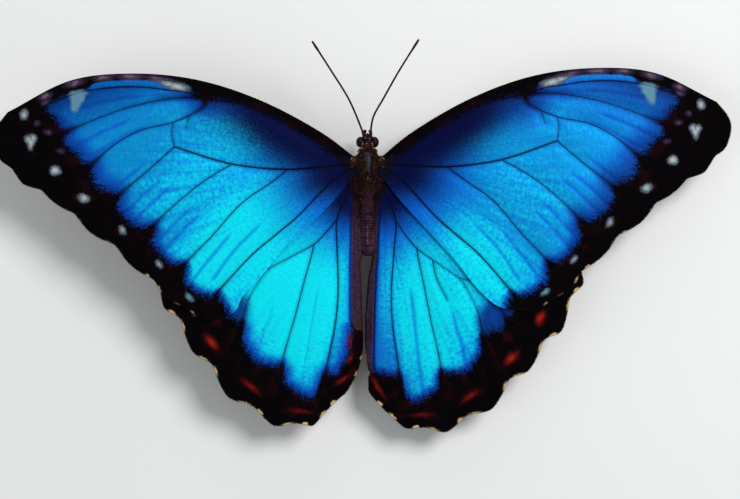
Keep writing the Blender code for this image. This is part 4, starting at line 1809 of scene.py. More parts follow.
    def surface_frame(self, flat: np.ndarray, heading: np.ndarray) -> tuple:
        """The laid place, laid heading and upward normal at flat places of the wing.

        Args:
            flat: Places round the hinge, one a row.
            heading: A flat direction at each.

        Returns:
            The three sets of vectors.
        """
        here = self.lay(flat)
        along = unit(self.lay(flat + heading * 0.4) - here)
        other = unit(self.lay(flat + quarter_turn(heading) * 0.4) - here)
        up = unit(np.cross(along, other))
        up[up[:, 2] < 0] *= -1
        return here, along, up

    def build_fringe(self) -> bpy.types.Object:
        """Makes the fringe of fine scales along the outer edge, with cream at the notches.

        Returns:
            The finished fringe.
        """
        vanes = Vanes(f"{self.name}_fringe", self.seed)
        full = self.outer_edge()
        taper = self.edge_taper(len(full))
        normal = self.edge_normals(full)
        line = full - normal * self.fringe * taper[:, None]
        count = int(arc_lengths(line)[-1] / self.vane_gap)
        for layer in (-1, 1):
            share = (np.arange(count) + 0.5 + vanes.random.uniform(-0.4, 0.4, count)) / count
            head = unit(read_line(normal, share))
            size = self.fringe * read_line(taper[:, None], share)[:, 0]
            head = unit(head + quarter_turn(head) * vanes.random.normal(0, 0.16, (count, 1)))
            root = read_line(line, share) - head * 0.12
            here, along, up = self.surface_frame(root, head)
            marks = self.markings(root + head * 0.1)
            here = here + up * (0.035 * layer) + up * marks["relief"][:, None]
            reach = (size + 0.10) * vanes.random.uniform(0.72, 1.0, count)
            vanes.grow(here, along, up, reach, vanes.random.uniform(0.10, 0.15, count),
                       self.unwrap(root), {"cream": ease(marks["cream"], -0.18, 0.10),
                                           "brown": ease(marks["brown"], -0.3, 0.3)})
        return vanes.build(FringeFinish(), "wing_blue")

    def places_on(self, vanes: Vanes, count: int, rows: tuple, columns: tuple) -> tuple:
        """Picks random places on a part of the flat sheet.

        Args:
            vanes: Whose random numbers are used.
            count: How many places.
            rows: The part from the hinge, at 0, to the outer edge, at 1.
            columns: The part from the leading edge, at 0, to the inner margin, at 1.

        Returns:
            The flat places and the direction away from the hinge at each.
        """
        flat = self.flat_sheet()
        i = vanes.random.uniform(*rows, count) * (flat.shape[0] - 1)
        j = vanes.random.uniform(*columns, count) * (flat.shape[1] - 1)
        low_i = np.clip(i.astype(int), 0, flat.shape[0] - 2)
        low_j = np.clip(j.astype(int), 0, flat.shape[1] - 2)
        s, t = (i - low_i)[:, None], (j - low_j)[:, None]
        near = flat[low_i, low_j] * (1 - t) + flat[low_i, low_j + 1] * t
        far = flat[low_i + 1, low_j] * (1 - t) + flat[low_i + 1, low_j + 1] * t
        return near * (1 - s) + far * s, unit(far - near)

    def build_hair(self) -> bpy.types.Object:
        """Makes the hairs on the wing's root, and on the hindwing's strip by the abdomen.

        Returns:
            The coat piece.
        """
        vanes = Vanes(f"{self.name}_hair", self.seed + 20)
        reach, front = (0.036, 0.22) if self.fore else (0.032, 0.05)
        patches = [(1100, (0.0, reach), (front, 1.0), (0.55, 1.15), True)]
        if not self.fore:
            patches.append((5600, (0.04, 0.93), (0.84, 1.0), (0.35, 0.70), False))
        for count, rows, columns, sizes, at_root in patches:
            flat, heading = self.places_on(vanes, count, rows, columns)
            comb = vanes.random.normal(0.0 if at_root else -0.45, 0.25, (count, 1))
            heading = unit(heading + quarter_turn(heading) * comb)
            here, along, up = self.surface_frame(flat, heading)
            keep = np.full(count, True) if at_root else self.brown_depth(here) > 0.05
            marks = body_marks(here, up)
            high = ease(here[:, 1], -10.5, -5.5)
            marks["pale"] = marks["pale"] * (not at_root)
            marks["rust"] = np.full(count, 0.35 if at_root else 0.2)
            marks["mauve"] = np.zeros(count) if at_root else 0.75 - 0.55 * high
            marks["dark"] = np.full(count, 0.90) if at_root else 0.15 + 0.55 * high
            marks["tint"] = vanes.random.uniform(0, 1, count)
            marks = {key: values[keep] for key, values in marks.items()}
            flat, here, along, up = (v[keep] for v in (flat, here, along, up))
            length = vanes.random.uniform(*sizes, len(flat))
            width = vanes.random.uniform(0.05, 0.09, len(flat))
            lean = vanes.random.uniform(0.02, 0.12 if at_root else 0.22, (len(flat), 1))
            vanes.grow(here + up * 0.03, along + up * lean, up, length, width,
                       self.unwrap(flat), marks)
        return vanes.build(HAIR, "body_coat")


# ------------------------------------------------------------------ body

HEAD_CENTRE = (0.0, 4.76, 6.95)
HEAD_HALF = (1.32, 1.34, 1.45)
EYE_CENTRE = (1.20, 4.62, 6.95)
EYE_HALF = (0.76, 0.95, 1.08)
THORAX_HALF = (2.40, 3.20, 2.60)
THORAX_Z = 7.00
ABDOMEN_FRONT = -3.50
ABDOMEN_BACK = -14.95
ABDOMEN_HALF = 1.45
ABDOMEN_Z = (6.90, 6.25)
SEGMENT = 1.36
# The middles of the thorax's wide and narrow stripe, which is partly its bluish hair and partly
# painted sheen, and the gaps between the waist's dark bands and between the abdomen's fine lines.
STRIPE_X = (0.12, 0.20)
BAND_GAP = 0.42
LINE_GAP = 0.46
PALE_DOTS = ((-0.94, 3.62), (1.28, 3.50), (1.55, 2.95), (-0.15, 4.35), (0.35, 5.15), (-0.3, 5.2),
             (0.05, -1.35), (-2.75, 2.0), (2.25, 1.75), (1.75, 2.35), (-3.0, -1.7), (2.6, -0.6),
             (-2.9, 0.9))


def ripple(y: np.ndarray, gap: float) -> np.ndarray:
    """Waves along the body from 0 to 1, one every gap of millimetres."""
    return 0.5 + 0.5 * np.cos(y * TURN / gap)


def body_marks(points: np.ndarray, normal: np.ndarray) -> dict[str, np.ndarray]:
    """The body's markings, for its skin and its hair alike.

    Args:
        points: Places on the body in millimetres.
        normal: The skin's outward direction at each.

    Returns:
        Each marking's name and values from 0 to 1.
    """
    x, y = points[:, 0], points[:, 1]
    top = ease(normal[:, 2], 0.1, 0.7)
    # partly painted sheen: the blue-grey stripe on the thorax's top stands for both its bluish hair
    # and the sheen on it
    half = np.interp(y, (-2.0, 0.6, 3.2), (0.26, 0.55, 1.15))
    stripe = ease(np.abs(x - STRIPE_X[0]), half, half * 0.05) * 0.50
    stripe = np.maximum(stripe, ease(np.abs(x - STRIPE_X[1]), 0.50, 0.02) * 0.85)
    stripe = stripe * ease(y, -2.2, 1.0)
    stripe = stripe * ease(y, 3.6, 2.9) * top
    mauve = ease(y, -3.2, -4.6)
    pale = np.zeros(len(points))
    for dot_x, dot_y in PALE_DOTS:
        size = 0.13 if dot_y > 4 else 0.18
        gap = np.hypot(x - dot_x, y - dot_y)
        pale = np.maximum(pale, ease(gap, size, size * 0.3) * top * (0.5 if dot_y > 4 else 0.8))
    beads = 0.5 + (ripple(y + 9.6, LINE_GAP) - 0.5) * np.sin(y * 2.1)
    ridge = ease(np.abs(x + 0.03 * np.sin(5 * y)), 0.16, 0.04) * top
    ridge = ridge * ease(y, -9.0, -10.6) * ease(y, -12.9, -12.2)
    pale = np.maximum(pale, ridge * ease(beads, 0.30, 0.9) * 0.48)
    belly = ease(normal[:, 2], -0.2, -0.8) * 0.30
    # painted light: the abdomen's rear flanks are made paler to offset the shade in the grooves
    # beside the hindwings' strips
    flank = ease(np.abs(x), 0.65, 1.15) * ease(y, -9.0, -12.0) * 0.10
    belly = np.maximum(belly, flank)
    dark = ease(np.hypot(x * 1.2, (y + 13.05) * 1.6), 0.42, 0.15) * top
    groove = np.abs((y - ABDOMEN_FRONT) / SEGMENT - np.round((y - ABDOMEN_FRONT) / SEGMENT))
    dark = np.maximum(dark, ease(groove, 0.11, 0.0) * ease(y, -4.2, -5.0) * 0.55)
    bands = ripple(y + 2.0 + 0.05 * np.sin(3 * x), BAND_GAP)
    waist = ease(y, -1.6, -2.2) * ease(y, -4.3, -3.7)
    dark = np.maximum(dark, ease(bands, 0.3, 0.9) * waist * 0.95)
    lines = ease(ripple(y + 0.04 * np.sin(4 * x), LINE_GAP), 0.45, 0.95)
    lines = lines * ease(y, -4.0, -4.6) * ease(y, -14.5, -9.5)
    dark = np.maximum(dark, lines * 0.80)
    rust = np.maximum(ease(np.abs(x), 1.2, 2.2) * ease(y, -3.8, -2.8) * 0.7,
                      ease(np.abs(y + 4.9), 1.5, 0.4) * 0.55)
    rust = np.maximum(rust, ease(bands, 0.6, 0.1) * waist * 0.7)
    return {"stripe": stripe, "mauve": mauve, "pale": np.maximum(pale, belly), "dark": dark,
            "rust": rust}


def eye_share(points: np.ndarray) -> np.ndarray:
    """How far out from the nearest eye's middle each place lies, 1 on the eye."""
    places = np.column_stack([np.abs(points[:, 0]), points[:, 1:]])
    return np.linalg.norm((places - EYE_CENTRE) / EYE_HALF, axis=1)


@dataclass
class Body:
    """The one skin of head, thorax and abdomen, and the coat of hairs on it."""

    segments: int = 120
    rings: int = 330
    thorax_coat: float = 0.22
    thin_coat: float = 0.10
    neck: float = 1.20
    waist: float = 1.62
    head_waist: float = 0.30
    seed: int = 11

    def profile(self, y: np.ndarray) -> tuple[np.ndarray, np.ndarray, np.ndarray]:
        """The skin's half width, half height and middle height at places along the body.

        Args:
            y: Places along the body.

        Returns:
            The half width, half height and middle height at each.
        """
        t = np.clip(np.abs(y) / THORAX_HALF[1], 0, 1)
        girth = np.where(y < 0, np.clip(1 - t**1.9, 0, 1) ** 0.56,
                         np.clip(1 - t**2.6, 0, 1) ** 0.4545)
        h = np.clip(np.abs(y - HEAD_CENTRE[1]) / (HEAD_HALF[1] - self.thin_coat), 0, 1)
        round_head = np.sqrt(1 - h**2)
        length = ABDOMEN_FRONT - ABDOMEN_BACK
        a = (ABDOMEN_FRONT - y) / (length - self.thin_coat)
        swell = np.minimum(0.62 + 0.38 * np.sin(np.clip(a / 0.27, 0, 1) * math.pi / 2), 1)
        taper = np.sqrt(np.clip(1 - np.clip((a - 0.5) / 0.5, 0, 1) ** 7, 0, 1))
        start = ease(a, -0.05, 0.02)
        phase = (y - ABDOMEN_FRONT) / SEGMENT
        phase = phase - np.floor(phase)
        step = 1 + 0.030 * (0.5 - phase) - 0.045 * np.exp(-(np.minimum(phase, 1 - phase)
                                                          / 0.07) ** 2)
        belly = (ABDOMEN_HALF - self.thin_coat) * swell * taper * start
        belly = belly * np.where((a > 0.02) & (a < 0.97), step, 1.0)
        neck = self.neck * ease(y, 1.0, 2.0) * ease(y, 5.0, 3.9)
        waist = self.waist * ease(y, -1.0, -2.4) * ease(y, -6.2, -3.8)
        cheek = 1 - self.head_waist * np.exp(-((y - EYE_CENTRE[1]) / 0.75) ** 2)
        widths = ((THORAX_HALF[0] - self.thorax_coat) * girth,
                  (HEAD_HALF[0] - self.thin_coat) * round_head * cheek, belly,
                  np.maximum(neck, waist))
        heights = ((THORAX_HALF[2] - self.thorax_coat) * girth,
                   (HEAD_HALF[2] - self.thin_coat) * round_head, belly * 1.02,
                   np.maximum(neck, waist) * 0.95)
        slope = np.clip(a, 0, 1)
        middles = (np.full_like(y, THORAX_Z), np.full_like(y, HEAD_CENTRE[2]),
                   ABDOMEN_Z[0] + (ABDOMEN_Z[1] - ABDOMEN_Z[0]) * slope,
                   np.full_like(y, 6.95))
        wide = np.sum([w**5 for w in widths], axis=0) ** 0.2
        high = np.sum([w**5 for w in heights], axis=0) ** 0.2
        weight = np.array([w**4 + 1e-9 for w in widths])
        middle = np.sum(weight * np.array(middles), axis=0) / np.sum(weight, axis=0)
        return wide, high, middle

    def ends(self) -> tuple[float, float]:
        """Where the skin starts at the abdomen's tip and ends at the face."""
        return (ABDOMEN_BACK + self.thin_coat, HEAD_CENTRE[1] + HEAD_HALF[1] - self.thin_coat)

    def surface(self, y: np.ndarray, turn: np.ndarray) -> np.ndarray:
        """Places on the skin from the place along the body and the turn round it.

        Args:
            y: Places along the body.
            turn: The turn round it at each.

        Returns:
            The places in body millimetres.
        """
        wide, high, middle = self.profile(y)
        ridge = 0.05 * np.exp(-((turn - math.pi / 2) / 0.10) ** 2) * ease(y, 3.0, 1.5)
        ridge = ridge * ease(y, -3.6, -2.2)
        flank = 1 + 0.035 * np.cos(6 * turn) * ease(np.abs(y), 2.8, 1.6)
        x = wide * np.cos(turn) * flank
        z = middle + (high * flank - ridge) * np.sin(turn)
        return np.column_stack([x, y, z])

    def normals(self, y: np.ndarray, turn: np.ndarray) -> np.ndarray:
        """The skin's outward direction at those places.

        Args:
            y: Places along the body.
            turn: The turn round it at each.

        Returns:
            The directions at length 1.
        """
        step = 0.02
        low, high = self.ends()
        ahead = self.surface(np.clip(y + step, low, high), turn)
        behind = self.surface(np.clip(y - step, low, high), turn)
        round_it = self.surface(y, turn + step) - self.surface(y, turn - step)
        out = unit(np.cross(ahead - behind, -round_it))
        centre = self.surface(y, turn)
        _, _, middle = self.profile(y)
        arm = centre - np.column_stack([np.zeros_like(y), y, middle])
        return np.where(np.sum(out * arm, axis=1, keepdims=True) < 0, -out, out)

    def build_skin(self) -> bpy.types.Object:
        """Makes the one skin of the head, thorax and abdomen.

        Returns:
            The finished skin.
        """
        piece = add_ball("body_skin", self.segments, self.rings)
        share, turn = ball_angles(piece)
        low, high = self.ends()
        y = low + (high - low) * (1 - np.cos(math.pi * share)) / 2
        points = self.surface(y, turn)
        normal = self.normals(np.clip(y, low + 0.03, high - 0.03), turn)
        place_vertices(piece, points)
        marks = body_marks(points, normal)
        rim = ease(np.abs(eye_share(points) - 1.05), 0.06, 0.02) * ease(points[:, 1], 4.9, 4.3)
        marks["pale"] = np.maximum(marks["pale"], rim * 0.6)
        marks["tint"] = np.full(len(points), 0.4)
        write_marks(piece, marks)
        write_map(piece, BAKE_MAP, np.column_stack([turn / TURN + 0.5, share]))
        outward(piece)
        return finish_piece(piece, ("head", "thorax", "abdomen"), SKIN)

    def scatter(self, vanes: Vanes, count: int, span: tuple[float, float]) -> tuple:
        """Picks even random places on a stretch of the skin.

        Args:
            vanes: Whose random numbers are used.
            count: How many places to try.
            span: The stretch along y.

        Returns:
            The places' y, turn, point and outward direction.
        """
        y = vanes.random.uniform(*span, count)
        turn = vanes.random.uniform(-math.pi, math.pi, count)
        wide, high, _ = self.profile(y)
        keep = vanes.random.uniform(0, 1, count) < (wide + high) / (2 * THORAX_HALF[2])
        y, turn = y[keep], turn[keep]
        return y, turn, self.surface(y, turn), self.normals(y, turn)

    def build_hair(self) -> bpy.types.Object:
        """Makes the coat: long on the thorax, short on the abdomen, tufted on the head.

        Returns:
            The finished coat.
        """
        vanes = Vanes("body_hair", self.seed)
        back = np.array([0.0, -1.0, 0.0])
        for count, span, sizes, lift in ((8600, (-3.9, 3.3), (0.50, 1.00), 0.20),
                                         (1500, (2.7, 3.9), (0.40, 0.75), 0.32),
                                         (1900, (3.7, 6.0), (0.20, 0.38), 0.45),
                                         (7000, (-14.5, -3.2), (0.28, 0.44), 0.12)):
            y, turn, points, normal = self.scatter(vanes, count, span)
            forward = span[0] > 3.6
            clear = eye_share(points) > 1.12
            y, turn, points, normal = (v[clear] for v in (y, turn, points, normal))
            lie = np.where(forward, -0.2, 1.0) * back - normal * (normal @ back)[:, None]
            lie = unit(lie + vanes.random.normal(0, 0.20, points.shape))
            lie = unit(lie - normal * np.sum(lie * normal, axis=1, keepdims=True))
            rise = lift * vanes.random.uniform(0.6, 1.5, len(y))
            along = lie + normal * rise[:, None]
            length = vanes.random.uniform(*sizes, len(y))
            length = length * (1 - 0.5 * ease(y, -1.4, -2.2) * (span[1] > 0))
            width = vanes.random.uniform(0.05, 0.09, len(y))
            place = np.column_stack([turn / TURN + 0.5, self.bake_share(y)])
            marks = body_marks(points + lie * length[:, None] * 0.3, normal)
            marks["tint"] = vanes.random.uniform(0, 1, len(y))
            vanes.grow(points - normal * 0.03, along, normal, length, width, place, marks)
        return vanes.build(HAIR, "body_coat")

    def bake_share(self, y: np.ndarray) -> np.ndarray:
        """Where a place along the body lies on the skin's unwrap, from 0 to 1."""
        low, high = self.ends()
        return np.arccos(np.clip(1 - 2 * (y - low) / (high - low), -1, 1)) / math.pi


@dataclass
class Lobe:
    """A haired lobe on the thorax: the collar behind the head or the cap of a wing root."""

    name: str
    side: Side
    centre: tuple
    half: tuple
    turn: float
    hairs: int
    seed: int
    pale: tuple = ()

    def surface(self, unit_points: np.ndarray) -> np.ndarray:
        """Turns and places a ball's points as the lobe's.

        Args:
            unit_points: Places on or in the unit ball.

        Returns:
            The places in body millimetres.
        """
        points = unit_points * np.array(self.half)
        points[:, 2] += 0.25 * points[:, 1] * (points[:, 1] < 0)
        c, s = math.cos(math.radians(self.turn)), math.sin(math.radians(self.turn))
        x = points[:, 0] * c - points[:, 1] * s + self.centre[0]
        y = points[:, 0] * s + points[:, 1] * c + self.centre[1]
        return np.column_stack([x * self.side.sign, y, points[:, 2] + self.centre[2]])

    def marks(self, points: np.ndarray, count: int) -> dict[str, np.ndarray]:
        """The lobe's markings: rusty brown, with its own pale dots.

        Args:
            points: Places on the lobe.
            count: How many there are.

        Returns:
            Each marking's name and values.
        """
        pale = np.zeros(count)
        for dot_x, dot_y, size in self.pale:
            gap = np.hypot(points[:, 0] - dot_x * self.side.sign, points[:, 1] - dot_y)
            pale = np.maximum(pale, ease(gap, size, size * 0.4) * 0.9)
        return {"pale": pale, "rust": np.full(count, 0.55), "stripe": np.zeros(count),
                "mauve": np.zeros(count), "dark": np.full(count, 0.1)}

    def build(self) -> list:
        """Makes the lobe and its hairs.

        Returns:
            The lobe and its coat.
        """
        full = f"{self.name}_{self.side.name}"
        lobe = add_ball(f"{full}_lobe", 32, 24)
        points = self.surface(unit_places(lobe))
        place_vertices(lobe, points)
        marks = self.marks(points, len(points))
        marks["tint"] = np.full(len(points), 0.4)
        write_marks(lobe, marks)
        outward(lobe)
        finish_piece(lobe, finish=SKIN, angle=80.0)
        vanes = Vanes(f"{full}_hair", self.seed + self.side.sign)
        ball = unit(vanes.random.normal(0, 1, (self.hairs, 3)))
        ball[:, 2] = np.abs(ball[:, 2])
        roots = self.surface(ball.copy())
        centre = self.surface(np.zeros((1, 3)))
        out = unit((roots - centre) / np.square(self.half))
        lie = np.array([0.35 * self.side.sign, -1.0, 0.0]) + vanes.random.normal(0, 0.25,
                                                                             roots.shape)
        lie = unit(lie - out * np.sum(lie * out, axis=1, keepdims=True))
        count = len(roots)
        marks = self.marks(roots, count)
        marks["tint"] = vanes.random.uniform(0, 1, count)
        vanes.grow(roots - out * 0.03, lie + out * 0.25, out,
                   vanes.random.uniform(0.28, 0.60, count),
                   vanes.random.uniform(0.05, 0.08, count), ball[:, :2] * 0.5 + 0.5, marks)
        return [lobe, vanes.build(HAIR, "body_coat")]


# ------------------------------------------------------------------ head parts and limbs

@dataclass
class Eye:
    """A compound eye that bulges from its socket."""

    side: Side
    segments: int = 64
    rings: int = 40

    def build(self) -> bpy.types.Object:
        """Makes the eye with its pale rim, a painted highlight.

        Returns:
            The finished eye.
        """
        piece = add_ball(f"eye_{self.side.name}_lens", self.segments, self.rings)
        places = unit_places(piece)[:, (2, 0, 1)]
        half = np.array(EYE_HALF)
        centre = np.array([self.side.sign * EYE_CENTRE[0], *EYE_CENTRE[1:]])
        place_vertices(piece, places * half + centre)
        inward = -places[:, 0] * self.side.sign
        # painted highlight: the rim mark lies on the lens's inner rear side
        write_marks(piece, {"rim": ease(inward, 0.30, 0.46) * ease(places[:, 1], 0.0, -0.35)})
        outward(piece)
        return finish_piece(piece, (f"eye_{self.side.name}",), EyeGloss(), 80.0)


def limb_path(points: tuple, count: int, side: Side) -> np.ndarray:
    """A smooth path on one side of the body, from places given for the right one.

    Args:
        points: The limb's places on the right side.
        count: How many steps the path is cut into.
        side: Which side it is for.

    Returns:
        The path's places in order.
    """
    path = smooth_path(points, count)
    path[:, 0] *= side.sign
    return path


@dataclass
class Antenna:
    """A slender ringed antenna with a faint club."""

    side: Side
    segments: int = 12
    joints: int = 46
    shaft: float = 0.160
    club: float = 0.215

    def build(self) -> bpy.types.Object:
        """Makes the antenna with its rings and club.

        Returns:
            The finished antenna.
        """
        path = limb_path(self.side.antenna, 240, self.side)
        t = np.linspace(0, 1, 470)
        radius = self.shaft * np.interp(t, (0, 0.02, 0.05, 1), (1.7, 1.6, 1.0, 0.92))
        radius = radius + (self.club - self.shaft) * np.exp(-((t - 0.94) / 0.055) ** 2)
        radius = radius * (1 + 0.10 * np.abs(np.sin(math.pi * self.joints * t)))
        name = f"antenna_{self.side.name}"
        piece = sweep(f"{name}_rings", path, radius, self.segments, 460)
        return finish_piece(piece, (name,), FEELER)


@dataclass
class Palp:
    """An upturned furry palp in front of the face."""

    side: Side
    path: tuple = ((0.50, 5.45, 5.45), (0.52, 6.20, 5.70), (0.46, 6.50, 6.60),
                   (0.40, 6.50, 7.30), (0.36, 6.47, 7.66))
    hairs: int = 380

    def build(self) -> list:
        """Makes the palp's skin and its short hairs.

        Returns:
            The skin and its hairs.
        """
        name = f"palp_{self.side.name}"
        path = limb_path(self.path, 60, self.side)
        radius = np.interp(np.linspace(0, 1, 40), (0, 0.35, 0.8, 1), (0.20, 0.25, 0.17, 0.10))
        skin = sweep(f"{name}_skin", path, radius, 20, 60)
        count = len(skin.data.vertices)
        write_marks(skin, {key: np.full(count, value) for key, value in (
            ("stripe", 0), ("mauve", 0.15), ("pale", 0), ("dark", 0.45), ("rust", 0),
            ("tint", 0.5))})
        finish_piece(skin, (name,), SKIN)
        vanes = Vanes(f"{name}_hair", 40 + self.side.sign)
        t = vanes.random.uniform(0.03, 0.97, self.hairs)
        turn = vanes.random.uniform(0, TURN, self.hairs)
        middle, out, tangent, thick = round_limb(path, radius, t, turn, (1.0, 0.0, 0.0))
        vanes.grow(middle + out * thick * 0.9, tangent + out * 0.42, out,
                   vanes.random.uniform(0.16, 0.30, self.hairs),
                   vanes.random.uniform(0.05, 0.08, self.hairs),
                   np.column_stack([turn / TURN, t]),
                   {"dark": 0.3, "mauve": 0.15, "pale": ease(out[:, 1], 0.6, 1.0) * 0.5,
                    "tint": vanes.random.uniform(0, 1, self.hairs)})
        return [skin, vanes.build(HAIR, "body_coat")]


@dataclass
class Tongue:
    """The tongue, coiled like a watch spring under the head."""

    centre: tuple = (5.2, 3.95)
    inner: float = 0.38
    outer: float = 1.10
    turns: float = 1.35
    start: float = 62.0
    thick: float = 0.18

    def build(self) -> bpy.types.Object:
        """Makes the ringed coil.

        Returns:
            The finished tongue.
        """
        share = np.linspace(0, 1, 160)
        angle = np.radians(self.start) - TURN * self.turns * (1 - share)
        reach = self.inner + (self.outer - self.inner) * share
        path = np.column_stack([np.zeros_like(share), self.centre[0] + reach * np.cos(angle),
                                self.centre[1] + reach * np.sin(angle)])
        t = np.linspace(0, 1, 400)
        radius = self.thick * np.interp(t, (0, 1), (0.55, 1.0))
        radius = radius * (1 + 0.06 * np.sin(TURN * 70 * t))
        piece = sweep("proboscis_coil", path, radius, 14, 380)
        return finish_piece(piece, ("proboscis",), TONGUE)


MIDLEG = ((1.30, 0.4, 4.75), (1.60, 0.5, 4.50), (3.9, 1.7, 5.75), (6.2, 2.9, 6.02),
          (6.55, 3.08, 5.75), (7.8, 3.7, 3.6), (8.75, 4.2, 1.35), (8.95, 4.31, 0.80),
          (9.15, 4.42, 0.42), (9.8, 4.8, 0.11), (12.6, 6.3, 0.11))
HINDLEG = ((1.05, -1.4, 4.75), (1.30, -1.7, 4.45), (2.7, -4.3, 5.35), (4.1, -6.8, 5.57),
           (4.28, -7.2, 5.35), (5.0, -9.8, 3.5), (5.6, -12.2, 1.35), (5.71, -12.65, 0.80),
           (5.82, -13.1, 0.42), (6.0, -13.9, 0.11), (6.8, -18.0, 0.11))
FORELEG = ((0.95, 1.3, 4.45), (0.95, 1.35, 4.20), (1.15, 2.9, 4.15), (1.05, 4.2, 4.75),
           (0.95, 4.7, 5.05))


CLAW = ((0.0, 0.04, 0.02), (0.20, 0.13, 0.06), (0.38, 0.17, 0.02), (0.46, 0.15, -0.05))
CLAW_GIRTH = np.array([0.055, 0.045, 0.028, 0.012])


@dataclass
class Leg:
    """A walking leg: thigh, shin and foot in one skin, with spines and two claws."""

    name: str
    points: tuple
    side: Side
    nodes: tuple
    knee: float = 0.36
    ankle: float = 0.68
    spines: int = 130
    claws: bool = True

    def girth(self) -> np.ndarray:
        """The leg's radius from hip to claws, pinched at the joints.

        Returns:
            The radius at even steps.
        """
        if not self.claws:
            return np.interp(np.linspace(0, 1, 60), (0, 0.5, 1), (0.20, 0.24, 0.14))
        t = np.linspace(0, 1, 400)
        k, a = self.knee, self.ankle
        radius = np.interp(t, (0, 0.05, k * 0.5, k, k + 0.02, (k + a) / 2, a, a + 0.02, 1.0),
                           (0.40, 0.42, 0.38, 0.24, 0.24, 0.25, 0.20, 0.17, 0.13))
        for joint in (k, a):
            radius = radius * (1 - 0.22 * np.exp(-((t - joint) / 0.006) ** 2))
        for step in range(1, 5):
            joint = a + (1 - a) * (0.36 + 0.145 * step)
            radius = radius * (1 - 0.25 * np.exp(-((t - joint) / 0.004) ** 2))
        return radius

    def build(self) -> list:
        """Makes the leg's skin and its spines.

        Returns:
            The skin and its spines.
        """
        path = limb_path(self.points, 260, self.side)
        radius = self.girth()
        parts = [sweep(f"{self.name}_skin", path, radius, 16, 300 if self.claws else 70)]
        if self.claws:
            parts += self.make_claws(path)
        skin = join(f"{self.name}_skin", parts)
        finish_piece(skin, self.nodes, LEG, 60.0)
        return [skin, self.build_spines(path, radius)]

    def make_claws(self, path: np.ndarray) -> list:
        """Makes the two hooked claws at the foot's tip.

        Args:
            path: The leg's middle line.

        Returns:
            The two claws.
        """
        tip, heading = path[-1], unit(path[-1] - path[-8])
        side, up = np.cross(heading, (0.0, 0.0, 1.0)), np.array([0.0, 0.0, 1.0])
        claws = []
        for sign in (-1, 1):
            line = smooth_path([tip + heading * (ahead - 0.05) + side * out * sign + up * rise
                                for ahead, out, rise in CLAW], 20)
            claws.append(sweep(f"{self.name}_claw_{sign}", line, CLAW_GIRTH, 8, 16))
        return claws

    def build_spines(self, path: np.ndarray, radius: np.ndarray) -> bpy.types.Object:
        """Makes the short spines that point towards the foot.

        Args:
            path: The leg's middle line.
            radius: The leg's radius at even steps.

        Returns:
            The finished spines.
        """
        vanes = Vanes(f"{self.name}_spines", 70 + len(self.name) + self.side.sign)
        t = vanes.random.uniform(0.06, 0.985, self.spines)
        turn = vanes.random.uniform(0, TURN, self.spines)
        middle, out, tangent, thick = round_limb(path, radius, t, turn, (0.3, 0.5, 0.8))
        roots = middle + out * thick * 0.85
        clear = roots[:, 2] + out[:, 2] * 0.2 > 0.05
        length = vanes.random.uniform(0.16, 0.30, self.spines)
        width = vanes.random.uniform(0.035, 0.05, self.spines)
        place = np.column_stack([turn / TURN, t])
        vanes.grow(*(values[clear] for values in (roots, tangent + out * 0.55, out, length,
                                                  width, place)), {"tint": 0.3})
        return vanes.build(LEG, "leg_coat")


# ------------------------------------------------------------------ studio

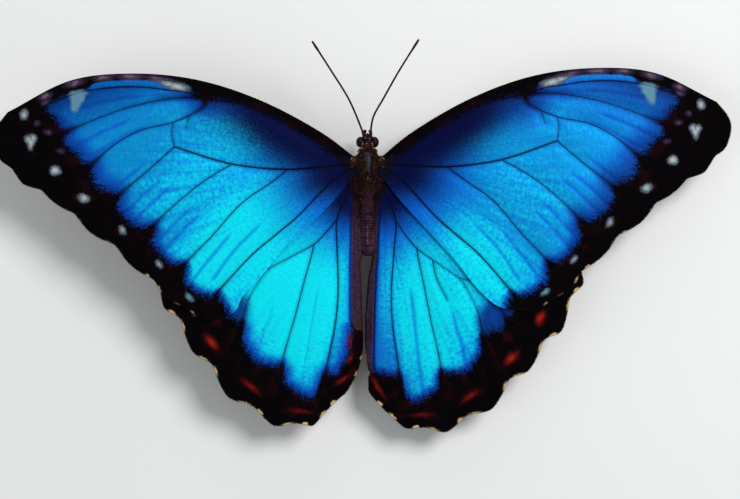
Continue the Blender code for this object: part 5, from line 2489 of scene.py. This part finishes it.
@dataclass
class Studio:
    """The pale floor, the soft lights and the camera straight above."""

    centre: tuple = (0.425, -13.685)
    wing_level: float = 8.5
    distance: float = 349.0
    lens: float = 100.0

    def build(self) -> None:
        """Sets up floor, lights and camera."""
        deselect()
        bpy.ops.mesh.primitive_plane_add(size=1.6, location=(0, 0, 0))
        floor = bpy.context.object
        floor.name = "studio_floor"
        floor.data.materials.append(Paper().material())
        self.add_lights()
        self.add_camera()
        world = bpy.data.worlds.new("studio_air")
        bpy.context.scene.world = world
        world.use_nodes = True
        air = world.node_tree
        Board(air).fill(air.nodes["Background"], {"Color": (0.9, 0.95, 1.0), "Strength": 0.34})
        bpy.context.scene.view_settings.view_transform = "Standard"

    def add_lights(self) -> None:
        """Adds a large soft key light, a fill light and a low rim light."""
        for name, place, size, power in (("key", (0.34, 0.28, 0.52), 0.30, 4.2),
                                         ("fill", (-0.45, -0.20, 0.50), 0.60, 1.0),
                                         ("rim", (-0.05, 0.60, 0.25), 0.30, 0.4)):
            light = bpy.data.lights.new(name, "AREA")
            light.shape = "DISK"
            light.size = size
            light.energy = power
            lamp = bpy.data.objects.new(name, light)
            bpy.context.scene.collection.objects.link(lamp)
            lamp.location = place
            aim = -lamp.location.normalized()
            lamp.rotation_mode = "QUATERNION"
            lamp.rotation_quaternion = aim.to_track_quat("-Z", "Y")

    def add_camera(self) -> None:
        """Adds the camera, looking straight down with the head to the top."""
        data = bpy.data.cameras.new("camera")
        data.lens = self.lens
        data.sensor_width = 36.0
        data.clip_start = 0.01
        camera = bpy.data.objects.new("camera", data)
        bpy.context.scene.collection.objects.link(camera)
        place = np.array([*self.centre, self.wing_level + self.distance]) * MM + ORIGIN
        camera.location = place
        bpy.context.scene.camera = camera


# ------------------------------------------------------------------ the butterfly

def build_side(side: Side) -> None:
    """Builds everything that the butterfly has once on each side.

    Args:
        side: Which side, and how it is held.
    """
    seed = 100 if side.sign > 0 else 200
    for name, plan, layer, step in (("forewing", FOREWING, Layer.FORE, 1),
                                    ("hindwing", HINDWING, Layer.HIND, 2)):
        wing = Wing(f"{name}_{side.name}_sheet", plan, side, layer, seed + step)
        wing.build_sheet(f"{name}_{side.name}")
        wing.build_veins()
        wing.build_fringe()
        wing.build_hair()
    Lobe("tegula", side, (2.28, 1.25, 8.35), (0.62, 1.00, 0.36), 14.0, 420, 51,
         ((2.6, 1.95, 0.20), (2.15, 1.75, 0.16), (2.75, 0.6, 0.16))).build()
    Lobe("hind_cap", side, (2.22, -1.50, 7.75), (0.52, 0.80, 0.42), -10.0, 300, 71,
         ((2.75, -1.75, 0.14),)).build()
    Lobe("collar", side, (0.82, 3.18, 8.15), (0.82, 0.50, 0.34), -14.0, 300, 61,
         ((0.95, 3.60, 0.16), (1.45, 3.10, 0.15))).build()
    Eye(side).build()
    Antenna(side).build()
    Palp(side).build()
    for name, points in (("midleg", MIDLEG), ("hindleg", HINDLEG)):
        full = f"{name}_{side.name}"
        nodes = tuple(f"{full}_{part}" for part in ("femur", "tibia", "tarsus"))
        Leg(full, points, side, nodes).build()
    Leg(f"foreleg_{side.name}", FORELEG, side, (f"foreleg_{side.name}",), spines=90,
        claws=False).build()


def main() -> None:
    """Builds the whole butterfly and its studio."""
    body = Body()
    body.build_skin()
    body.build_hair()
    Tongue().build()
    for side in (LEFT, RIGHT):
        build_side(side)
    Studio().build()


if __name__ == "__main__":
    main()
